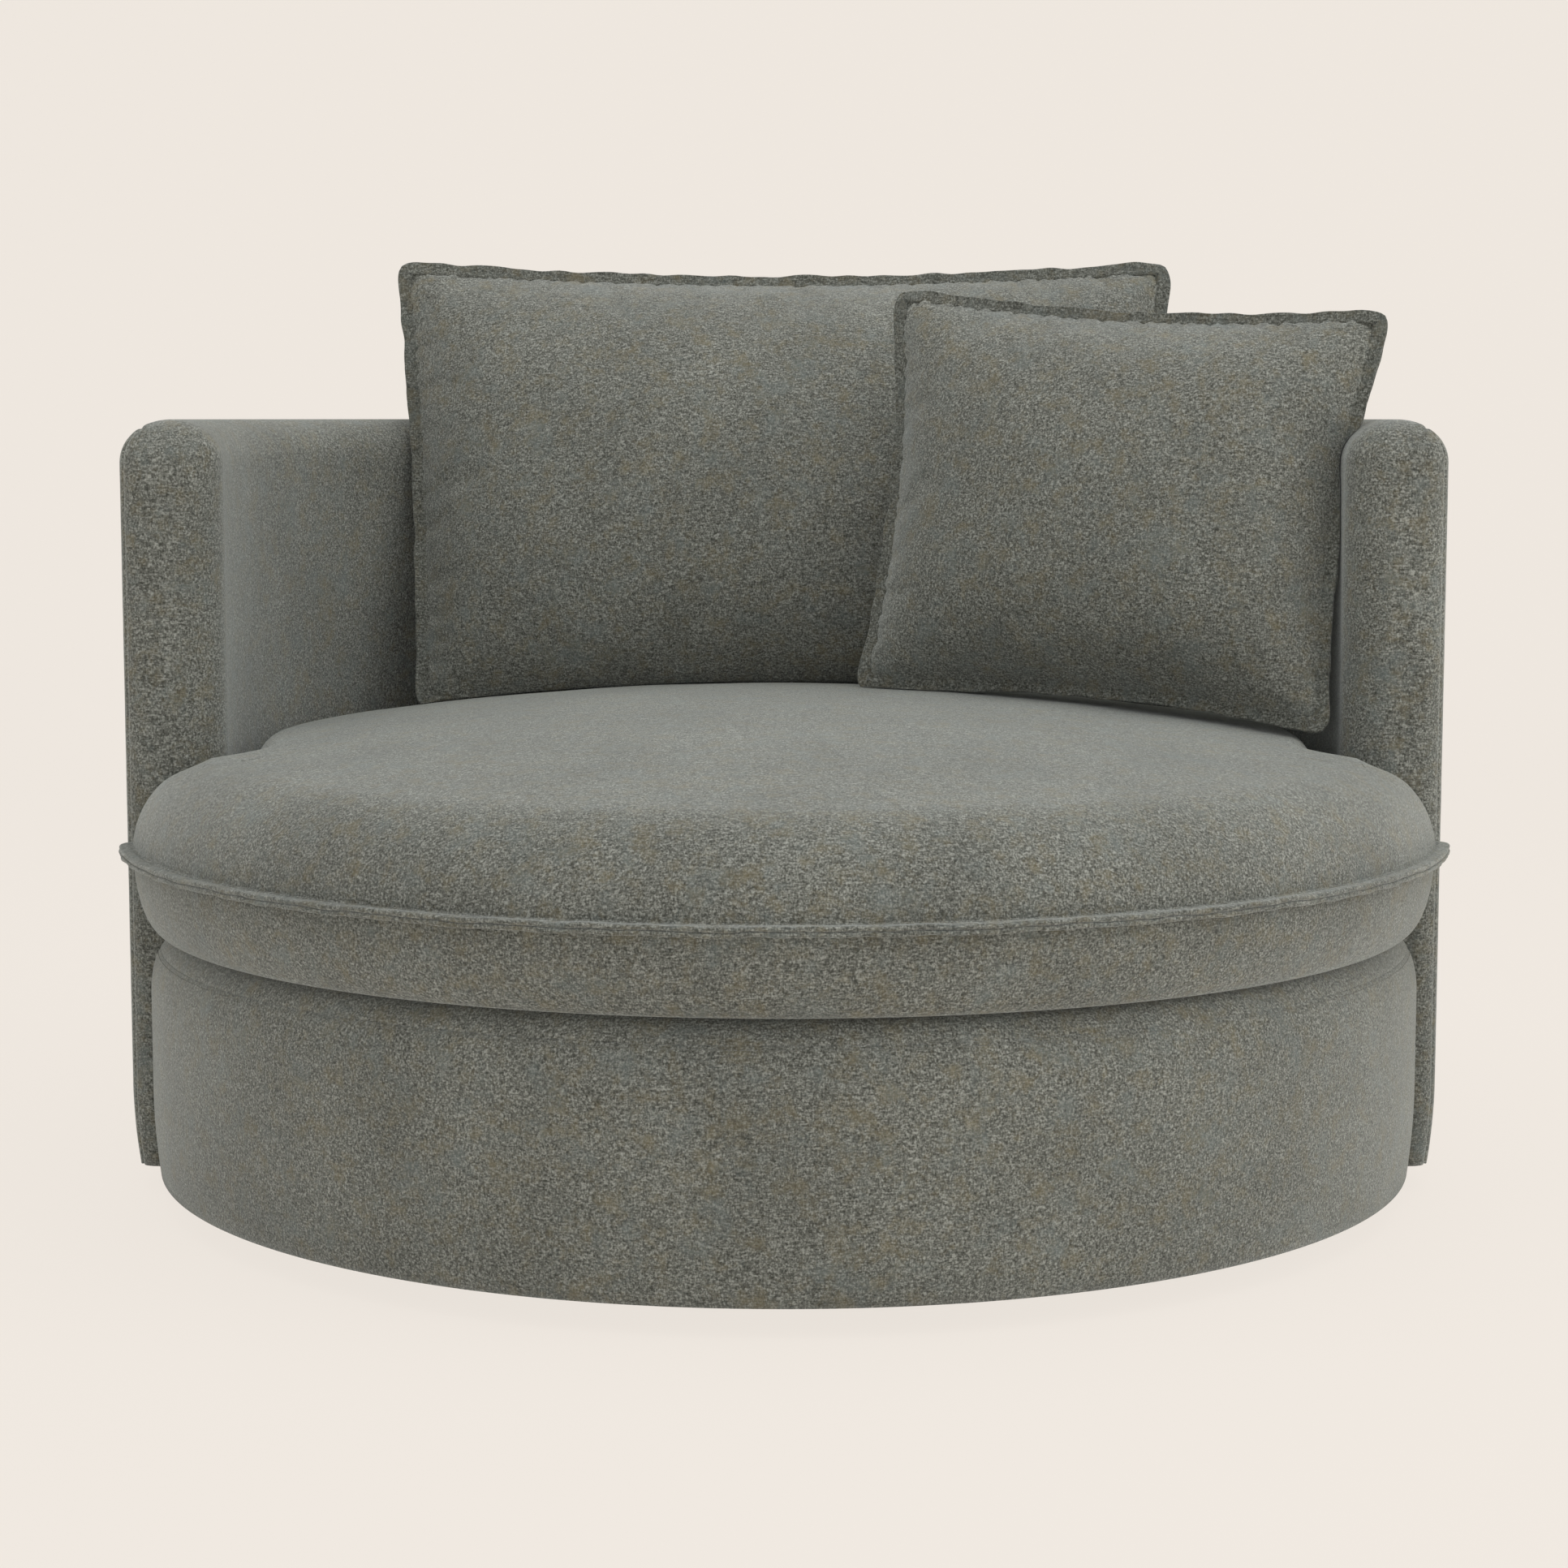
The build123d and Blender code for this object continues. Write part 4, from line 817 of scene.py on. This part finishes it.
# Studio: a pale seamless floor and backdrop, a broad soft light overhead and a weaker one from the
# right. The backdrop shows its own colour to the camera and keeps the chair's shadow.
sweep_radius = 1.5
backdrop = []
for turn in np.linspace(0, pi / 2, 16):
    backdrop.append((3.5 + sweep_radius * sin(turn), sweep_radius * (1 - cos(turn))))
profile = [(-9, 0)] + backdrop + [(3.5 + sweep_radius, 9)]
points = [(x, y, z) for y, z in profile for x in (-14, 14)]
faces = [(i, i + 1, i + 3, i + 2) for i in range(0, len(points) - 2, 2)]
paper, tree, shader, place = finish_material("seamless_backdrop_paper")
shader.inputs["Base Color"].default_value = linear("f0e9e1")
shader.inputs["Roughness"].default_value = 0.9
glow = add(tree, "ShaderNodeEmission", {"Color": linear("f0e9e1"), "Strength": 1})
path = add(tree, "ShaderNodeLightPath")
seen = path.outputs["Is Camera Ray"]
for ray in ("Is Glossy Ray", "Is Transmission Ray"):
    seen = add(tree, "ShaderNodeMath", {"operation": "MAXIMUM"}, {0: seen, 1: path.outputs[ray]}).outputs[0]
share = add(tree, "ShaderNodeMath", {"operation": "MULTIPLY", 1: 0.92}, {0: seen})
sockets = {0: share.outputs[0], 1: shader.outputs[0], 2: glow.outputs[0]}
mixed = add(tree, "ShaderNodeMixShader", links=sockets)
tree.links.new(mixed.outputs[0], tree.nodes["Material Output"].inputs["Surface"])
stage = piece_of("seamless_backdrop", points, faces, paper)

world = bpy.data.worlds.new("soft_studio")
world.use_nodes = True
world.node_tree.nodes["Background"].inputs["Color"].default_value = linear("ffffff")
world.node_tree.nodes["Background"].inputs["Strength"].default_value = 0.70
bpy.context.scene.world = world


def softbox(name, place, aim, width, power):
    """A square area light that points at a place."""
    lamp = bpy.data.lights.new(name, "AREA")
    lamp.size, lamp.energy = width, power
    holder = bpy.data.objects.new(name, lamp)
    holder.location = place
    holder.rotation_euler = (Vector(aim) - Vector(place)).to_track_quat("-Z", "Y").to_euler()
    bpy.context.collection.objects.link(holder)


softbox("overhead_light", (0.3, -0.6, 3.2), (0, 0, 0.3), 3.0, 36)
softbox("right_light", (3.4, -1.1, 1.5), (0, 0, 0.35), 2.0, 32)
softbox("front_light", (-0.3, -4.0, 0.55), (0, 0, 0.25), 1.0, 16)

lens = bpy.data.cameras.new("camera")
lens.sensor_width = 36
lens.lens = 75.48
camera = bpy.data.objects.new("camera", lens)
camera.location = (0, -3.1352, 0.7263)
camera.rotation_euler = (pi / 2 - radians(6.354), 0, 0)
bpy.context.collection.objects.link(camera)
bpy.context.scene.camera = camera
bpy.context.scene.view_settings.view_transform = "Standard"
